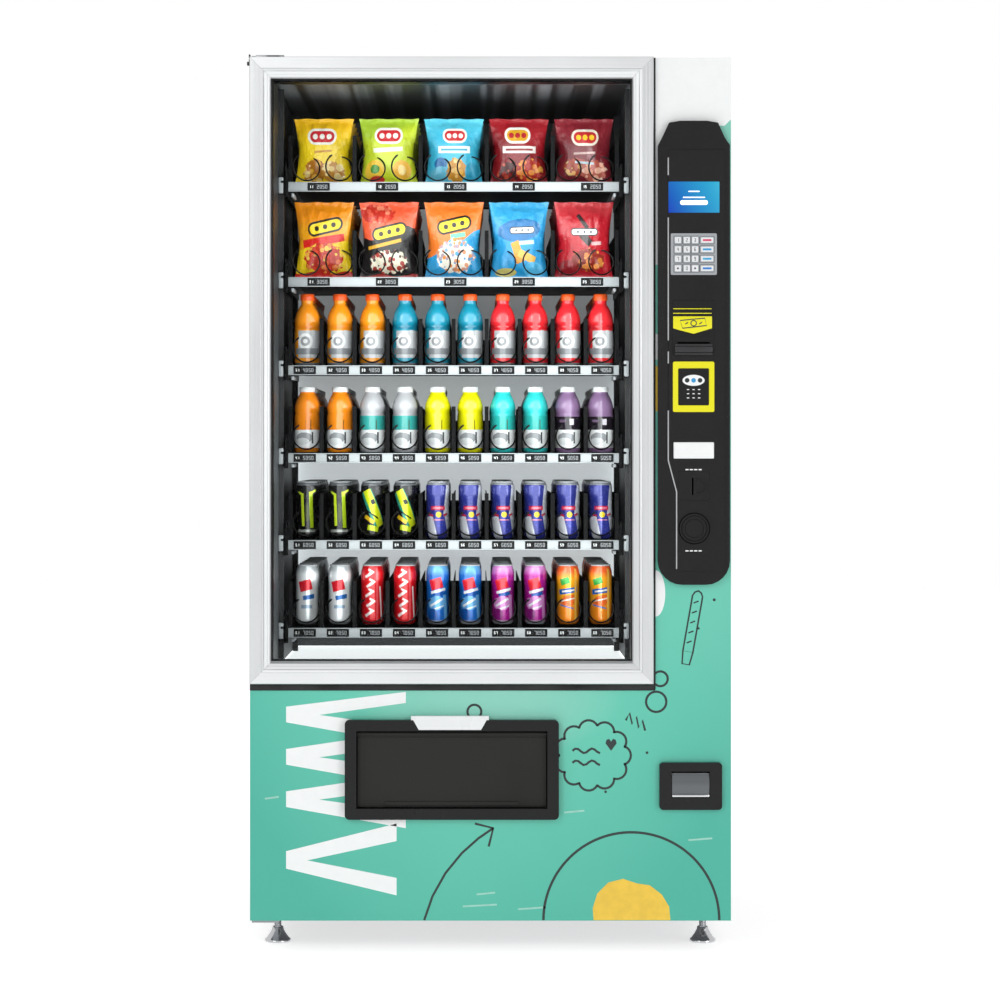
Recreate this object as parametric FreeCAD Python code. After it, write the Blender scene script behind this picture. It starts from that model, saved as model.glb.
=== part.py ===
import FreeCAD, Part
import math
import os

# Snack vending machine, millimetres. +X right (seen from the customer), +Y towards the wall, +Z up.
# The front face looks along -Y. Origin: middle of the footprint, on the floor.

V = FreeCAD.Vector

# ---- overall sizes ----
WIDTH = 1045.0
HEIGHT = 1940.0          # floor to the top of the cabinet
DEPTH = 850.0            # foremost key face to the back sheet
FOOT_HEIGHT = 65.0       # floor to the underside of cabinet and door

# ---- sheet and clearances ----
SHEET = 2.0
THIN = 1.5
GAP = 0.3                # between pieces that move against each other
SHAFT_GAP = 0.05         # radial, shaft in its bore

# ---- door ----
PROUD = 18.0             # how far fittings stand in front of the door skin
DOOR_THICK = 60.0
DOOR_GAP = 4.0           # door back to cabinet front
FRAME_BAND = 46.0        # width of the window moulding
WINDOW_BOTTOM = 580.2    # underside of the window moulding
COLUMN_WIDTH = 163.8     # control column, right of the window moulding
COLUMN_JOINT = 5.1       # shadow gap between moulding and column
SILL = 13.0              # seal strip under the window moulding

HALF_W = WIDTH / 2
FRONT = -DEPTH / 2
BACK = DEPTH / 2
SKIN_Y = FRONT + PROUD
DOOR_BACK = SKIN_Y + DOOR_THICK
CAB_FRONT = DOOR_BACK + DOOR_GAP
COLUMN_X = HALF_W - COLUMN_WIDTH
WINDOW_RIGHT = COLUMN_X - COLUMN_JOINT
HINGE_X = -HALF_W + 10.5
HINGE_Y = SKIN_Y + 22.0
HINGE_PIN_R = 5.0

# ---- cold cell ----
CELL_LEFT = -HALF_W + 46.5
CELL_RIGHT = WINDOW_RIGHT - 37.6
CELL_TOP = HEIGHT - 40.0
CELL_FLOOR = WINDOW_BOTTOM + 19.8
CELL_BACK = BACK - 45.0
DECK_FRONT = SKIN_Y + 192.0

# ---- trays, counted from the top ----
RAIL_LIFTS = [1089.2, 875.8, 677.6, 480.6, 285.3, 88.3]   # top of the price rail above the floor
RAIL_TOPS = [CELL_FLOOR + lift for lift in RAIL_LIFTS]
TRAY_LEFT = CELL_LEFT + 23.3
TRAY_RIGHT = CELL_RIGHT - 26.7
TRAY_FRONT = SKIN_Y + 183.0
TRAY_DEPTH = 524.0
RAIL_HIGH = 21.5
LANES_NARROW = 10
WIDE_TRAYS = 2           # the top trays carry double-width snack lanes
DIVIDER_HIGH = 105.0
MOTOR_DEEP = 45.0
LANE = (TRAY_RIGHT - TRAY_LEFT) / LANES_NARROW

# ---- product spirals ----
SPIRAL_R = 29.0
WIRE_R = 1.75
SPIRAL_PITCH = 80.0
SPIRAL_LONG = TRAY_DEPTH - 28.0
SPIRAL_RISE = SPIRAL_R + 9.0   # spiral axis above the rail top
SPIRAL_START = -120.0    # turn of the front end from 3 o'clock
WIRE_BENDS = 10          # straight lengths in one turn
WIRE_SIDES = 6
HUB_R = 9.0
SHAFT_R = 5.0
ARM = 4.0
LIVE_NARROW = 4          # spiral that turns in a single lane tray
LIVE_PAIR = (4, 5)       # spirals that turn together in a double lane tray

# ---- delivery hatch ----
HATCH_X = -83.9
HATCH_W = 464.2
HATCH_TALL = 216.1
HATCH_HIGH = WINDOW_BOTTOM - 78.2
HATCH_LOW = HATCH_HIGH - HATCH_TALL
FLAP_W = HATCH_W - 54.0
FLAP_LOW = HATCH_LOW + 25.8
FLAP_HIGH = HATCH_HIGH - 26.0
BIN_DEPTH = 180.0
BIN_TOP = CELL_FLOOR - 40.0

# ---- control column fittings, placed from the panel's middle and top ----
PANEL_X = COLUMN_X + 82.3
PANEL_W = 156.0
PANEL_HIGH = HEIGHT - 139.0
PANEL_LOW = PANEL_HIGH - 1005.7
PANEL_FACE = 14.0        # how far the panel stands in front of the skin
PANEL_R = 52.0           # radius of its lower corners
KEY = 13.7
KEY_WIDE = 27.0
KEY_WIDE_HIGH = 12.0
KEY_TRAVEL = 2.0
KEY_ROWS = [PANEL_HIGH - drop for drop in (259.0, 279.0, 299.4, 320.1)]
KEY_COLS = [PANEL_X - 35.2, PANEL_X - 15.9, PANEL_X + 1.9]
KEY_WIDE_X = PANEL_X + 28.0
KEY_PLATE_Y = SKIN_Y - PANEL_FACE - 2


def module(left, right, low, high):
    return PANEL_X + left, PANEL_X + right, PANEL_HIGH + low, PANEL_HIGH + high


MODULES = {
    "screen": module(-55.4, 55.0, -199.4, -132.0),
    "keypad": module(-50.6, 49.3, -334.2, -244.2),
    "bill": module(-46.0, 43.7, -504.2, -390.0),
    "card": module(-46.0, 43.7, -631.2, -522.0),
    "coin": module(-34.0, 34.0, -824.0, -760.0),
}
BUTTON_X = PANEL_X + 0.4
BUTTON_Z = PANEL_HIGH - 883.5
BUTTON_R = 25.5
CUP_X = PANEL_X - 6.6
CUP_W = 135.8
CUP_LOW = 306.8
CUP_HIGH = 409.3
CUP_PIVOT_Z = CUP_HIGH - 24.3


def block(x0, x1, y0, y1, z0, z1):
    return Part.makeBox(x1 - x0, y1 - y0, z1 - z0, V(x0, y0, z0))


def rod(x, y, z, radius, length, axis):
    return Part.makeCylinder(radius, length, V(x, y, z), V(*axis))


def plate(points, y0, y1):
    """Polygon in the XZ plane, extruded from y0 to y1."""
    ring = [V(x, y0, z) for x, z in points]
    face = Part.Face(Part.makePolygon(ring + [ring[0]]))
    return face.extrude(V(0, y1 - y0, 0))


def rounded(x0, x1, y0, y1, z0, z1, radius):
    """Block whose four edges along Y are rounded."""
    body = block(x0, x1, y0, y1, z0, z1)
    edges = [e for e in body.Edges if abs(e.tangentAt(e.FirstParameter).y) > 0.9]
    return body.makeFillet(radius, edges)


def fuse(pieces):
    body = pieces[0].multiFuse(pieces[1:]) if len(pieces) > 1 else pieces[0]
    return body.removeSplitter()


def cut(body, tools):
    return body.cut(Part.makeCompound(tools)).removeSplitter()


def mitred_ring(profile, x0, x1, z0, z1):
    """Rectangular frame with mitred corners. profile is (inward, y) points of the section."""
    corners = []
    for inward, y in profile:
        corners.append([V(x0 + inward, y, z0 + inward), V(x1 - inward, y, z0 + inward),
                        V(x1 - inward, y, z1 - inward), V(x0 + inward, y, z1 - inward)])
    faces = []
    for i in range(len(profile)):
        here = corners[i]
        there = corners[(i + 1) % len(profile)]
        for k in range(4):
            n = (k + 1) % 4
            ring = [here[k], here[n], there[n], there[k]]
            faces.append(Part.Face(Part.makePolygon(ring + [ring[0]])))
    solid = Part.Solid(Part.makeShell(faces))
    if solid.Volume < 0:
        solid.reverse()
    return solid


def flat_ring(x0, x1, y0, y1, z0, z1, band):
    outer = block(x0, x1, y0, y1, z0, z1)
    return outer.cut(block(x0 + band, x1 - band, y0 - 1, y1 + 1, z0 + band, z1 - band))


# ---------------------------------------------------------------- cabinet
def cabinet_shell():
    body = block(-HALF_W, HALF_W, CAB_FRONT, BACK, FOOT_HEIGHT, HEIGHT)
    hollow = block(-HALF_W + SHEET, HALF_W - SHEET, CAB_FRONT - 1, BACK - SHEET,
                   FOOT_HEIGHT + SHEET, HEIGHT - SHEET)
    slots = []
    for n in range(14):
        z = 140.0 + 24.0 * n
        slots.append(block(-330, 180, BACK - 10, BACK + 1, z, z + 9))
    return cut(body, [hollow] + slots)


def inner_liner():
    low = FOOT_HEIGHT + SHEET
    top = HEIGHT - SHEET
    left = block(CELL_LEFT - SHEET, CELL_LEFT, CAB_FRONT, CELL_BACK, low, CELL_TOP)
    right = block(CELL_RIGHT, CELL_RIGHT + SHEET, CAB_FRONT, CELL_BACK, low, CELL_TOP)
    roof = block(CELL_LEFT - SHEET, CELL_RIGHT + SHEET, CAB_FRONT, CELL_BACK,
                 CELL_TOP, CELL_TOP + SHEET)
    rear = block(CELL_LEFT - SHEET, CELL_RIGHT + SHEET, CELL_BACK, CELL_BACK + SHEET,
                 CELL_FLOOR - SHEET, CELL_TOP + SHEET)
    floor = block(CELL_LEFT - SHEET, CELL_RIGHT + SHEET, DECK_FRONT, CELL_BACK,
                  CELL_FLOOR - SHEET, CELL_FLOOR)
    lip = block(CELL_LEFT - SHEET, CELL_RIGHT + SHEET, DECK_FRONT, DECK_FRONT + SHEET,
                CELL_FLOOR - 35, CELL_FLOOR)
    edge = CAB_FRONT + SHEET
    wall = CELL_RIGHT + 36.0
    left_face = block(-HALF_W + SHEET, CELL_LEFT, CAB_FRONT, edge, low, top)
    top_face = block(-HALF_W + SHEET, wall, CAB_FRONT, edge, CELL_TOP, top)
    right_face = block(CELL_RIGHT, wall, CAB_FRONT, edge, low, top)
    partition = block(wall - SHEET, wall, CAB_FRONT, BACK - SHEET, low, top)
    return fuse([left, right, roof, rear, floor, lip, left_face, top_face, right_face, partition])


def upright(x0, x1, y0, y1, slots):
    body = block(x0, x1, y0, y1, CELL_FLOOR, CELL_TOP)
    tools = []
    if slots:
        n = 0
        while CELL_FLOOR + 30 + 20 * n < CELL_TOP - 20:
            z = CELL_FLOOR + 30 + 20 * n
            tools.append(block(x0 - 1, x1 + 1, y0 + 8, y0 + 12, z, z + 11))
            n += 1
    return cut(body, tools) if tools else body


def tray_uprights():
    sides = []
    near = TRAY_FRONT + 16
    far = TRAY_FRONT + TRAY_DEPTH - 60
    for x0, x1, reach in ((CELL_LEFT, CELL_LEFT + 12, 1), (CELL_RIGHT - 12, CELL_RIGHT, -1)):
        pieces = [upright(x0, x1, near, near + 20, True), upright(x0, x1, far, far + 20, False)]
        for top in RAIL_TOPS:
            z = top - 5 - THIN - GAP
            if reach > 0:
                pieces.append(block(x1 - 2, TRAY_LEFT + 9, near, far + 20, z - 2, z))
                pieces.append(block(x1, x1 + 2, near, far + 20, z - 16, z - 1))
            else:
                pieces.append(block(TRAY_RIGHT - 9, x0 + 2, near, far + 20, z - 2, z))
                pieces.append(block(x0 - 2, x0, near, far + 20, z - 16, z - 1))
        sides.append(fuse(pieces))
    return Part.makeCompound(sides)


def cooling_unit():
    low = FOOT_HEIGHT + SHEET
    base = block(-430, 280, -150, 400, low, low + 3)
    pot = rod(130, 120, low + 3, 95, 150, (0, 0, 1))
    dome = Part.makeCone(95, 40, 45, V(130, 120, low + 153), V(0, 0, 1))
    feet = block(30, 230, 105, 135, low + 3, low + 23)
    core = block(-400, -60, -120, -60, low + 3, low + 330)
    fins = []
    for n in range(16):
        x = -390 + 21.0 * n
        fins.append(block(x, x + 12, -121, -66, low + 14, low + 320))
    core = cut(core, fins)
    shroud = block(-400, -60, -60, -20, low + 3, low + 330)
    shroud = shroud.cut(rod(-230, -70, low + 170, 140, 100, (0, 1, 0)))
    spoke = block(-390, -70, -34, -28, low + 166, low + 174)
    motor = rod(-230, -54, low + 170, 40, 30, (0, 1, 0))
    pipes = [block(-66, -54, -24, 66, low + 114, low + 126),
             block(-60, 78, 54, 66, low + 114, low + 126)]
    body = fuse([base, pot, dome, feet, core, shroud, spoke, motor] + pipes)
    return body.cut(rod(130, 120, low - 1, 86, 145, (0, 0, 1)))


def hinge_brackets():
    x0 = -HALF_W + 3
    x1 = x0 + 58
    y0 = HINGE_Y - 13
    top = block(x0, x1, y0, CAB_FRONT + 45, HEIGHT + GAP, HEIGHT + 5)
    top_seat = block(x0, x1, CAB_FRONT + 1, CAB_FRONT + 45, HEIGHT, HEIGHT + 2)
    top_pin = rod(HINGE_X, HINGE_Y, HEIGHT - 18, HINGE_PIN_R, 23, (0, 0, 1))
    low = block(x0, x1, y0, CAB_FRONT + 20, FOOT_HEIGHT - 6, FOOT_HEIGHT - GAP)
    low_seat = block(x0, x1, CAB_FRONT + 1, CAB_FRONT + 20, FOOT_HEIGHT - 3, FOOT_HEIGHT)
    low_pin = rod(HINGE_X, HINGE_Y, FOOT_HEIGHT - 6, HINGE_PIN_R, 24, (0, 0, 1))
    return Part.makeCompound([fuse([top, top_seat, top_pin]), fuse([low, low_seat, low_pin])])


def levelling_feet():
    feet = []
    for x in (-HALF_W + 52.5, HALF_W - 52.5):
        for y in (CAB_FRONT + 40, BACK - 45):
            pad = rod(x, y, 0, 29, 9, (0, 0, 1))
            cone = Part.makeCone(29, 11, 24, V(x, y, 9), V(0, 0, 1))
            stem = rod(x, y, 33, 8, FOOT_HEIGHT - 33, (0, 0, 1))
            nut = rod(x, y, FOOT_HEIGHT - 9, 14, 9, (0, 0, 1))
            feet.append(fuse([pad, cone, stem, nut]))
    return Part.makeCompound(feet)


# ---------------------------------------------------------------- door
def hatch_span(width):
    return HATCH_X - width / 2, HATCH_X + width / 2


def door_openings(y0, y1, grow):
    """Window, bin and column openings of the door, made larger by grow on every side."""
    bin0, bin1 = hatch_span(HATCH_W - 20)
    g = grow
    window = block(-HALF_W + 48.5 - g, WINDOW_RIGHT - 47 + g, y0, y1,
                   WINDOW_BOTTOM + 48.8 - g, HEIGHT - 50 + g)
    chute = block(bin0 - g, bin1 + g, y0, y1, HATCH_LOW - g, BIN_TOP + 5 + g)
    column = block(COLUMN_X + 8 - g, HALF_W - 9 + g, y0, y1, CUP_LOW + 3.2 - g,
                   PANEL_HIGH - 8 + g)
    return [window, chute, column]


def door_frame():
    y0 = SKIN_Y + SHEET
    y1 = DOOR_BACK - 3
    body = block(-HALF_W, HALF_W, y0, y1, FOOT_HEIGHT, HEIGHT)
    body = cut(body, door_openings(y0 - 1, y1 + 1, 0))
    inside = block(-HALF_W + SHEET, HALF_W - SHEET, y0 + SHEET, y1 + 1,
                   FOOT_HEIGHT + SHEET, HEIGHT - SHEET)
    inside = inside.cut(Part.makeCompound(door_openings(y0 - 1, y1 + 2, SHEET)))
    # the glazing rebate has its own walls
    glazing = block(-HALF_W + 34.5, WINDOW_RIGHT - 33, y0 - 1, y0 + 22,
                    WINDOW_BOTTOM + 35.3, HEIGHT - 35.6)
    inside = inside.cut(block(-HALF_W + 32.5, WINDOW_RIGHT - 31, y0, y0 + 22 + SHEET,
                              WINDOW_BOTTOM + 33.3, HEIGHT - 33.6))
    body = body.cut(inside).cut(glazing)
    blocks = []
    for z0, z1 in ((HEIGHT - 25, HEIGHT - SHEET), (FOOT_HEIGHT + SHEET, FOOT_HEIGHT + 25)):
        blocks.append(block(-HALF_W + SHEET, HINGE_X + 12, HINGE_Y - 12, HINGE_Y + 12, z0, z1))
    sill = block(-HALF_W, WINDOW_RIGHT, SKIN_Y - 5, y0, WINDOW_BOTTOM - SILL, WINDOW_BOTTOM)
    body = fuse([body, sill] + blocks)
    r = HINGE_PIN_R + SHAFT_GAP
    bores = [rod(HINGE_X, HINGE_Y, HEIGHT - 20, r, 30, (0, 0, 1)),
             rod(HINGE_X, HINGE_Y, FOOT_HEIGHT - 10, r, 30, (0, 0, 1))]
    return cut(body, bores)


def door_liner():
    y0 = DOOR_BACK - 3
    body = block(-HALF_W, HALF_W, y0, DOOR_BACK, FOOT_HEIGHT, HEIGHT)
    body = cut(body, door_openings(y0 - 1, DOOR_BACK + 1, 0))
    rim = flat_ring(-HALF_W + 16, WINDOW_RIGHT - 10, DOOR_BACK, DOOR_BACK + DOOR_GAP - GAP,
                    WINDOW_BOTTOM + 2, HEIGHT - 12, 14)
    return fuse([body, rim])


def front_panel():
    y0 = SKIN_Y
    y1 = SKIN_Y + SHEET
    low = block(-HALF_W, HALF_W, y0, y1, FOOT_HEIGHT, WINDOW_BOTTOM - SILL)
    column = block(COLUMN_X, HALF_W, y0, y1, WINDOW_BOTTOM - SILL - 1, HEIGHT)
    bin0, bin1 = hatch_span(HATCH_W - 32)
    holes = [block(bin0, bin1, y0 - 1, y1 + 1, HATCH_LOW + 12, HATCH_HIGH - 12),
             block(PANEL_X - 61, PANEL_X + 61, y0 - 1, y1 + 1, PANEL_LOW + 84.7, PANEL_HIGH - 60),
             block(CUP_X - 53, CUP_X + 53, y0 - 1, y1 + 1, CUP_LOW + 11.2, CUP_HIGH - 9.3)]
    return cut(fuse([low, column]), holes)


def glass_frame():
    y = SKIN_Y + SHEET
    f = FRONT
    section = [(0, y), (0, f + 4), (2, f + 2), (24, f + 2), (26, f + 0.5), (31, f + 0.5),
               (33, f + 3.5), (43, f + 12), (FRAME_BAND, f + 13), (FRAME_BAND, y)]
    return mitred_ring(section, -HALF_W, WINDOW_RIGHT, WINDOW_BOTTOM, HEIGHT)


def glass_panes():
    x0 = -HALF_W + 36.5
    x1 = WINDOW_RIGHT - 35
    z0 = WINDOW_BOTTOM + 37.3
    z1 = HEIGHT - 37.6
    y = SKIN_Y + SHEET
    outer = block(x0, x1, y, y + 4, z0, z1)
    inner = block(x0, x1, y + 16, y + 20, z0, z1)
    spacer = flat_ring(x0, x1, y + 4, y + 16, z0, z1, 8)
    return Part.makeCompound([outer, inner, spacer])


# ---------------------------------------------------------------- delivery hatch
def delivery_frame():
    x0, x1 = hatch_span(HATCH_W)
    s0, s1 = hatch_span(HATCH_W - 32.8)
    o0, o1 = hatch_span(FLAP_W + 4)
    face = rounded(x0, x1, FRONT + 4, SKIN_Y, HATCH_LOW, HATCH_HIGH, 10)
    sleeve = block(s0, s1, SKIN_Y, SKIN_Y + 22, HATCH_LOW + 12.4, HATCH_HIGH - 12.4)
    body = face.fuse(sleeve)
    mouth = block(o0, o1, FRONT - 1, SKIN_Y + 40, FLAP_LOW - 2, FLAP_HIGH + 2)
    bore = rod(s0 - 5, SKIN_Y + 2, FLAP_HIGH - 5, 3 + SHAFT_GAP, s1 - s0 + 10, (1, 0, 0))
    body = cut(body, [mouth])
    caps = [block(s0, s0 + 2, SKIN_Y, SKIN_Y + 10, FLAP_HIGH - 12, FLAP_HIGH + 2),
            block(s1 - 2, s1, SKIN_Y, SKIN_Y + 10, FLAP_HIGH - 12, FLAP_HIGH + 2)]
    return fuse([body.cut(bore)] + caps)


def delivery_flap():
    x0, x1 = hatch_span(FLAP_W)
    y = SKIN_Y + 2
    leaf = block(x0, x1, y - 3, y + 3, FLAP_LOW, FLAP_HIGH - 5)
    grip = block(x0 + 60, x1 - 60, y - 6, y - 3, FLAP_LOW + 4, FLAP_LOW + 12)
    barrel = rod(x0, y, FLAP_HIGH - 5, 5, x1 - x0, (1, 0, 0))
    pin = rod(x0 - 5.5, y, FLAP_HIGH - 5, 3, x1 - x0 + 11, (1, 0, 0))
    return fuse([leaf, grip, barrel, pin])


def delivery_bin():
    s0, s1 = hatch_span(HATCH_W - 32.8)
    y0 = SKIN_Y + 22
    y1 = y0 + BIN_DEPTH
    low = HATCH_LOW + 6
    outer = block(s0, s1, y0, y1, low, BIN_TOP)
    inner = block(s0 + 3, s1 - 3, y0 + 3, y1 - 3, low + 3, BIN_TOP + 1)
    o0, o1 = hatch_span(FLAP_W + 4)
    mouth = block(o0, o1, y0 - 1, y0 + 5, FLAP_LOW - 2, FLAP_HIGH + 2)
    return cut(outer, [inner, mouth])


def delivery_tab():
    x = HATCH_X - 4.1
    low = HATCH_HIGH - 21
    high = HATCH_HIGH + 9
    points = [(x - 67.5, low), (x + 67.5, low), (x + 84.5, high), (x - 84.5, high)]
    face = plate(points, FRONT + 2, FRONT + 4)
    foot = block(x - 84.5, x + 84.5, FRONT + 4, SKIN_Y, HATCH_HIGH, high)
    return fuse([face, foot])


# ---------------------------------------------------------------- control column
def panel_outline():
    left = PANEL_X - PANEL_W / 2
    right = PANEL_X + PANEL_W / 2
    high = PANEL_HIGH
    r = PANEL_R
    points = [(left + r, PANEL_LOW), (right - r, PANEL_LOW)]
    for n in range(1, 7):
        a = math.radians(90 - 15 * n)
        points.append((right - r + r * math.cos(a), PANEL_LOW + r - r * math.sin(a)))
    points += [(right, high - 53), (right - 11, high - 37), (right - 26, high - 4),
               (right - 49, high), (left + 47, high), (left + 24, high - 4),
               (left + 8.5, high - 37), (left, high - 53)]
    for n in range(0, 6):
        a = math.radians(15 * n)
        points.append((left + r - r * math.cos(a), PANEL_LOW + r - r * math.sin(a)))
    return points


def payment_panel():
    y0 = SKIN_Y - PANEL_FACE
    body = plate(panel_outline(), y0, SKIN_Y)
    left = PANEL_X - 55
    right = PANEL_X + 67
    low = PANEL_LOW + 29.7
    mid = [(left, PANEL_HIGH - 733), (left, PANEL_HIGH - 63), (right, PANEL_HIGH - 63),
           (right, low), (left + 17, low), (left + 17, PANEL_HIGH - 806)]
    raised = plate(mid, y0 - 2, y0)
    ring = rod(BUTTON_X, y0 - 3, BUTTON_Z, 34, 3, (0, 1, 0))
    body = fuse([body, raised, ring])
    tools = []
    x0, x1, z0, z1 = MODULES["screen"]
    tools.append(block(x0, x1, y0 - 5, y0 + 8, z0, z1))
    x0, x1, z0, z1 = MODULES["keypad"]
    tools.append(block(x0, x1, y0 - 5, y0 + 2, z0, z1))
    tools.append(block(x0 + 3, x1 - 3, y0, y0 + 7.5, z0 + 3, z1 - 3))
    for name in ("bill", "card", "coin"):
        x0, x1, z0, z1 = MODULES[name]
        tools.append(block(x0, x1, y0 - 5, SKIN_Y + 5, z0, z1))
    tools.append(rod(BUTTON_X, y0 - 5, BUTTON_Z, BUTTON_R + GAP, 16, (0, 1, 0)))
    return cut(body, tools)


def screen():
    x0, x1, z0, z1 = MODULES["screen"]
    y = SKIN_Y - PANEL_FACE
    return rounded(x0, x1, y - 1, y + 8, z0, z1, 2)


def keys_at():
    spots = []
    for z in KEY_ROWS:
        for x in KEY_COLS:
            spots.append((x, z, KEY, KEY))
        spots.append((KEY_WIDE_X, z, KEY_WIDE, KEY_WIDE_HIGH))
    return spots


def keypad_plate():
    x0, x1, z0, z1 = MODULES["keypad"]
    body = rounded(x0, x1, KEY_PLATE_Y, KEY_PLATE_Y + 4, z0, z1, 3)
    holes = []
    for x, z, w, h in keys_at():
        holes.append(block(x - w / 2 - GAP, x + w / 2 + GAP, KEY_PLATE_Y - 1,
                           KEY_PLATE_Y + 5, z - h / 2 - GAP, z + h / 2 + GAP))
    return cut(body, holes)


def key(x, z, w, h):
    cap = rounded(x - w / 2, x + w / 2, FRONT, KEY_PLATE_Y + 4 + GAP, z - h / 2, z + h / 2, 1.5)
    back = KEY_PLATE_Y + 4 + GAP
    flange = block(x - w / 2 - 1.4, x + w / 2 + 1.4, back, back + 1.5,
                   z - h / 2 - 1.4, z + h / 2 + 1.4)
    return fuse([cap, flange])


def bill_acceptor():
    x0, x1, z0, z1 = MODULES["bill"]
    y = SKIN_Y - PANEL_FACE
    bezel = rounded(x0, x1, y - 3, SKIN_Y + 30, z0, z1, 3)
    chin = plate([(x0 + 6, z0 + 6), (x1 - 6, z0 + 6), (x1 - 6, z0 + 20), (x0 + 6, z0 + 20)],
                 FRONT + 0.5, y - 3)
    hood = block(x0 + 6, x1 - 6, FRONT + 0.5, y - 3, z0 + 26, z0 + 36)
    case = block(x0 + 4, x1 - 4, SKIN_Y + 30, SKIN_Y + 210, z0 - 12, z1 + 60)
    slot = block(x0 + 10, x1 - 10, FRONT - 1, SKIN_Y + 60, z0 + 21, z0 + 24.5)
    plate_cut = block(x0 + 12, x1 - 12, y - 4, y - 1.5, z0 + 42, z0 + 100)
    return cut(fuse([bezel, chin, hood, case]), [slot, plate_cut])


def card_reader():
    x0, x1, z0, z1 = MODULES["card"]
    y = SKIN_Y - PANEL_FACE
    bezel = rounded(x0, x1, y - 3, SKIN_Y + 12, z0, z1, 4)
    case = block(x0 + 4, x1 - 4, SKIN_Y + 12, SKIN_Y + 50, z0 + 4, z1 - 4)
    window = rounded(x0 + 11, x1 - 11, y - 4, y - 1, z0 + 14, z1 - 14, 3)
    return cut(fuse([bezel, case]), [window])


def coin_entry():
    x0, x1, z0, z1 = MODULES["coin"]
    y = SKIN_Y - PANEL_FACE
    bezel = rounded(x0, x1, y - 1.5, SKIN_Y + 12, z0, z1, 3)
    x = (x0 + x1) / 2
    z = (z0 + z1) / 2
    guide = rod(x + 11, y - 3.2, z - 0.5, 17, 2, (0, 1, 0))
    guide = guide.cut(rod(x + 11, y - 5, z - 0.5, 13.5, 10, (0, 1, 0)))
    guide = guide.cut(block(x - 16, x + 5, y - 6, y + 6, z - 29, z + 31))
    slot = block(x - 4.7, x - 1.3, y - 5, SKIN_Y + 20, z - 19, z + 18)
    case = block(x0 - 4, x1 + 2, SKIN_Y + 12, SKIN_Y + 80, PANEL_LOW - 35.3, z1)
    return cut(fuse([bezel, guide, case]), [slot])


def refund_button():
    y = SKIN_Y - PANEL_FACE
    cap = rod(BUTTON_X, y - 2.8, BUTTON_Z, BUTTON_R, 6, (0, 1, 0))
    cap = cap.makeFillet(1.2, [cap.Edges[0]])
    stem = rod(BUTTON_X, y + 3.2, BUTTON_Z, 20, 3, (0, 1, 0))
    return fuse([cap, stem])


def coin_cup():
    body = rounded(CUP_X - CUP_W / 2, CUP_X + CUP_W / 2, SKIN_Y - 10, SKIN_Y, CUP_LOW, CUP_HIGH, 8)
    case = block(CUP_X - 52, CUP_X + 52, SKIN_Y, SKIN_Y + 52, CUP_LOW + 12.2, CUP_HIGH - 10.3)
    pocket = block(CUP_X - 41.6, CUP_X + 41.6, SKIN_Y - 20, SKIN_Y + 47, CUP_LOW + 26.2,
                   CUP_PIVOT_Z + 5)
    bore = rod(CUP_X - 48, SKIN_Y - 4, CUP_PIVOT_Z, 2 + SHAFT_GAP, 96, (1, 0, 0))
    chute = block(CUP_X - 20, CUP_X + 20, SKIN_Y + 15, SKIN_Y + 45, CUP_PIVOT_Z - 5, CUP_HIGH + 10)
    return cut(fuse([body, case]), [pocket, bore, chute])


def coin_flap():
    y = SKIN_Y - 4
    low = CUP_LOW + 31.2
    leaf = block(CUP_X - 40.5, CUP_X + 40.5, y - 1.2, y + 1.2, low, CUP_PIVOT_Z)
    lip = rod(CUP_X - 40.5, y, low - 1, 2.6, 81, (1, 0, 0))
    barrel = rod(CUP_X - 40.5, y, CUP_PIVOT_Z, 3.4, 81, (1, 0, 0))
    pin = rod(CUP_X - 46, y, CUP_PIVOT_Z, 2, 92, (1, 0, 0))
    return fuse([leaf, lip, barrel, pin])


# ---------------------------------------------------------------- trays and spirals
def spiral_x(n):
    return TRAY_LEFT + LANE * (n + 0.5)


def tray(number):
    top = RAIL_TOPS[number]
    floor = top - 5
    rear = TRAY_FRONT + TRAY_DEPTH
    y0 = TRAY_FRONT + 4
    pieces = [block(TRAY_LEFT, TRAY_RIGHT, y0, rear, floor - THIN, floor),
              block(TRAY_LEFT, TRAY_RIGHT, TRAY_FRONT, y0, top - RAIL_HIGH, top),
              block(TRAY_LEFT, TRAY_RIGHT, rear - THIN, rear, floor, floor + 85),
              block(TRAY_LEFT, TRAY_RIGHT, rear, rear + MOTOR_DEEP, floor + 68.5, floor + 70),
              block(TRAY_LEFT, TRAY_RIGHT, rear + MOTOR_DEEP - THIN, rear + MOTOR_DEEP,
                    floor - 1.5, floor + 70)]
    step = 2 if number < WIDE_TRAYS else 1
    for n in range(0, LANES_NARROW + 1, step):
        x = TRAY_LEFT + LANE * n
        x0 = min(max(x - THIN / 2, TRAY_LEFT), TRAY_RIGHT - THIN)
        f0 = min(max(x - 4.5, TRAY_LEFT), TRAY_RIGHT - 9)
        pieces.append(block(x0, x0 + THIN, y0, rear - THIN, floor, top + DIVIDER_HIGH))
        pieces.append(block(f0, f0 + 9, y0, y0 + THIN, top - 4, top + DIVIDER_HIGH))
    for x0 in (TRAY_LEFT - 6, TRAY_RIGHT - 2):
        pieces.append(block(x0, x0 + 8, y0, y0 + 3, top - 10, top + 26))
    holes = []
    for n in range(LANES_NARROW):
        holes.append(rod(spiral_x(n), rear - 10, top + SPIRAL_RISE, SHAFT_R + SHAFT_GAP, 20,
                         (0, 1, 0)))
    return cut(fuse(pieces), holes)


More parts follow.
